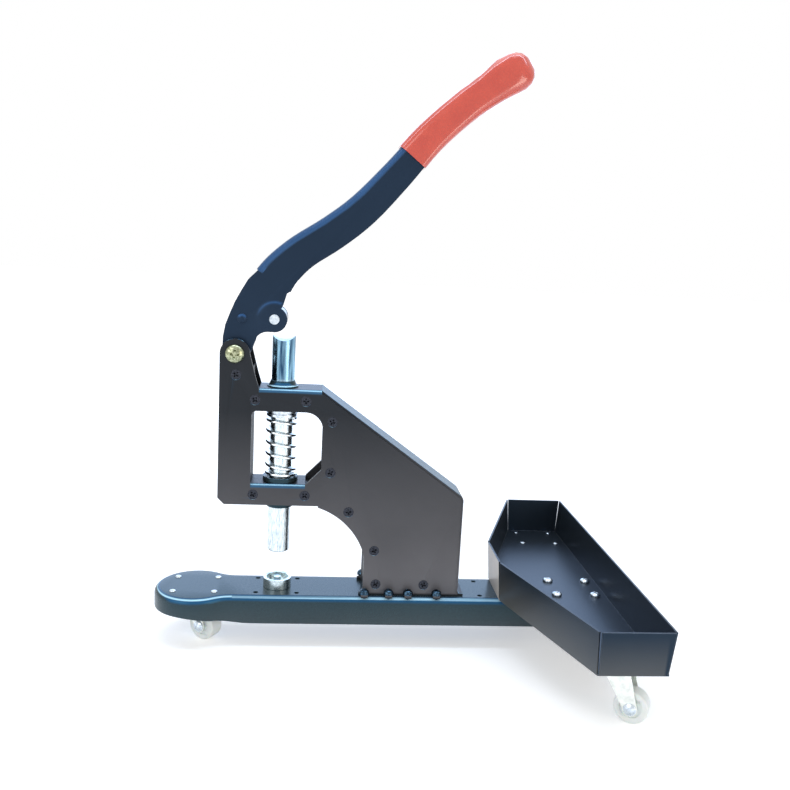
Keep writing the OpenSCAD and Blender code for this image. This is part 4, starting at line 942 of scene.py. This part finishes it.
# %% Places read from the solids
def islands(node):
    """The lowest and highest corner of every separate solid in a CAD node, from nose to tray.
    A set has no order of its own, so they are sorted, and each screw keeps its turn."""
    shape = welded(node)
    left, boxes = set(shape.verts), []
    while left:
        group, edge = set(), [left.pop()]
        while edge:
            vert = edge.pop()
            group.add(vert)
            for line in vert.link_edges:
                other = line.other_vert(vert)
                if other in left:
                    left.remove(other)
                    edge.append(other)
        spots = [v.co.copy() for v in group]
        boxes.append((Vector([min(s[i] for s in spots) for i in range(3)]),
                      Vector([max(s[i] for s in spots) for i in range(3)])))
    shape.free()
    return sorted(boxes, key=lambda box: [round(c / MM, 2) for c in box[0]])


def head_up(low, high):
    """The head of an upright fastener is at its top."""
    return Vector(((low.x + high.x) / 2, (low.y + high.y) / 2, high.z)), (0, 0, 1)


def head_out(low, high):
    """The head of a level fastener is on the outside of the machine."""
    side = 1 if low.y + high.y > 0 else -1
    y = high.y if side > 0 else low.y
    return Vector(((low.x + high.x) / 2, y, (low.z + high.z) / 2)), (0, side, 0)


def head_near(low, high):
    """The head of a bolt right through the machine is on its near side."""
    return Vector(((low.x + high.x) / 2, low.y, (low.z + high.z) / 2)), (0, -1, 0)


print(f"{len(islands('plate_screws'))} screws in the plates")

# %% A tree that puts fasteners in rows
rows, size = tree_with("fastener_rows", {"Places": "Geometry", "Fastener": "Object",
                                         "Seed": "Int", "Loose turn": "Float",
                                         "Finish": "Material"})
out = add(rows, "GeometryNodeInputNamedAttribute", {"Name": "out"}, data_type="FLOAT_VECTOR")
aim = add(rows, "FunctionNodeAlignRotationToVector", {"Vector": out.outputs[0]}, axis="Z")
form = add(rows, "GeometryNodeObjectInfo", {"Object": size["Fastener"], "As Instance": True})
spots = add(rows, "GeometryNodeInstanceOnPoints",
            {"Points": size["Places"], "Instance": form.outputs["Geometry"],
             "Rotation": aim.outputs[0]})
chance = add(rows, "FunctionNodeRandomValue", {2: 0.0, 3: size["Loose turn"], "Seed": size["Seed"]},
             data_type="FLOAT")
turn = add(rows, "ShaderNodeCombineXYZ", {"Z": chance.outputs[1]})
loosened = add(rows, "GeometryNodeRotateInstances",
               {"Instances": spots.outputs[0], "Rotation": turn.outputs[0]})
real = add(rows, "GeometryNodeRealizeInstances", {"Geometry": loosened.outputs[0]})
coated = add(rows, "GeometryNodeSetMaterial",
             {"Geometry": real.outputs[0], "Material": size["Finish"]})
add(rows, "NodeGroupOutput", {"Made": coated.outputs[0]})
print(f"a tree of {len(rows.nodes)} nodes")


# %% Put the screws in
def fasten(name, node, kind, finish, slot, heads, seed=1):
    """One fastener on each place of a CAD node. heads gives a head's point and its direction."""
    places = [heads(low, high) for low, high in islands(node)]
    mesh = bpy.data.meshes.new("places")
    mesh.from_pydata([tuple(spot) for spot, _ in places], [], [])
    facing = mesh.attributes.new("out", "FLOAT_VECTOR", "POINT")
    facing.data.foreach_set("vector", [c for _, way in places for c in way])
    piece = bpy.data.objects.new(name, mesh)
    for obj in (piece, kind):
        scene.collection.objects.link(obj)
    piece.data = made_by(rows, piece, Fastener=kind, Seed=seed, Loose_turn=math.tau,
                         Finish=finish)
    scene.collection.objects.unlink(kind)
    settle(piece, finish, slot, BODY_OF[node], node)
    print(f"{name}: {len(places)} places")


fasten("body_screws", "plate_screws", countersunk, black_oxide, "black_screws", head_out, seed=3)
fasten("foot_pan_screws", "foot_screws", foot_pan, blued_steel, "black_screws", head_up, seed=5)
fasten("pivot_screw", "pivot_bolt", pivot_pan, yellow_zinc, "yellow_zinc", head_near, seed=2)
fasten("tray_screws", "tray_bolts", tray_pan_screw, bright_zinc, "bright_zinc", head_up, seed=7)

# %% Rivets
RIVET_MM, RIVET_HEAD_MM, RIVET_HEAD_HIGH_MM = 4, 5.6, 1.2


def rivet(name, long):
    """A rivet whose two domed heads are a given length apart, top to top."""
    crown = dome(RIVET_HEAD_MM / 2, RIVET_HEAD_HIGH_MM, 0.3, steps=4)
    shank = [(RIVET_MM / 2, -RIVET_HEAD_HIGH_MM), (RIVET_MM / 2, RIVET_HEAD_HIGH_MM - long)]
    foot = [(r, -long - z) for r, z in reversed(crown)]
    return crisp(turned(name, crown + shank + foot))


for caster in CASTERS:
    node = "nose_rivets" if caster == "nose" else f"{caster}_caster_rivets"
    low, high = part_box(node)
    fasten(f"{caster}_rivet_heads", node, rivet(f"{caster}_rivet", (high.z - low.z) / MM),
           bright_zinc, "bright_zinc", head_up)
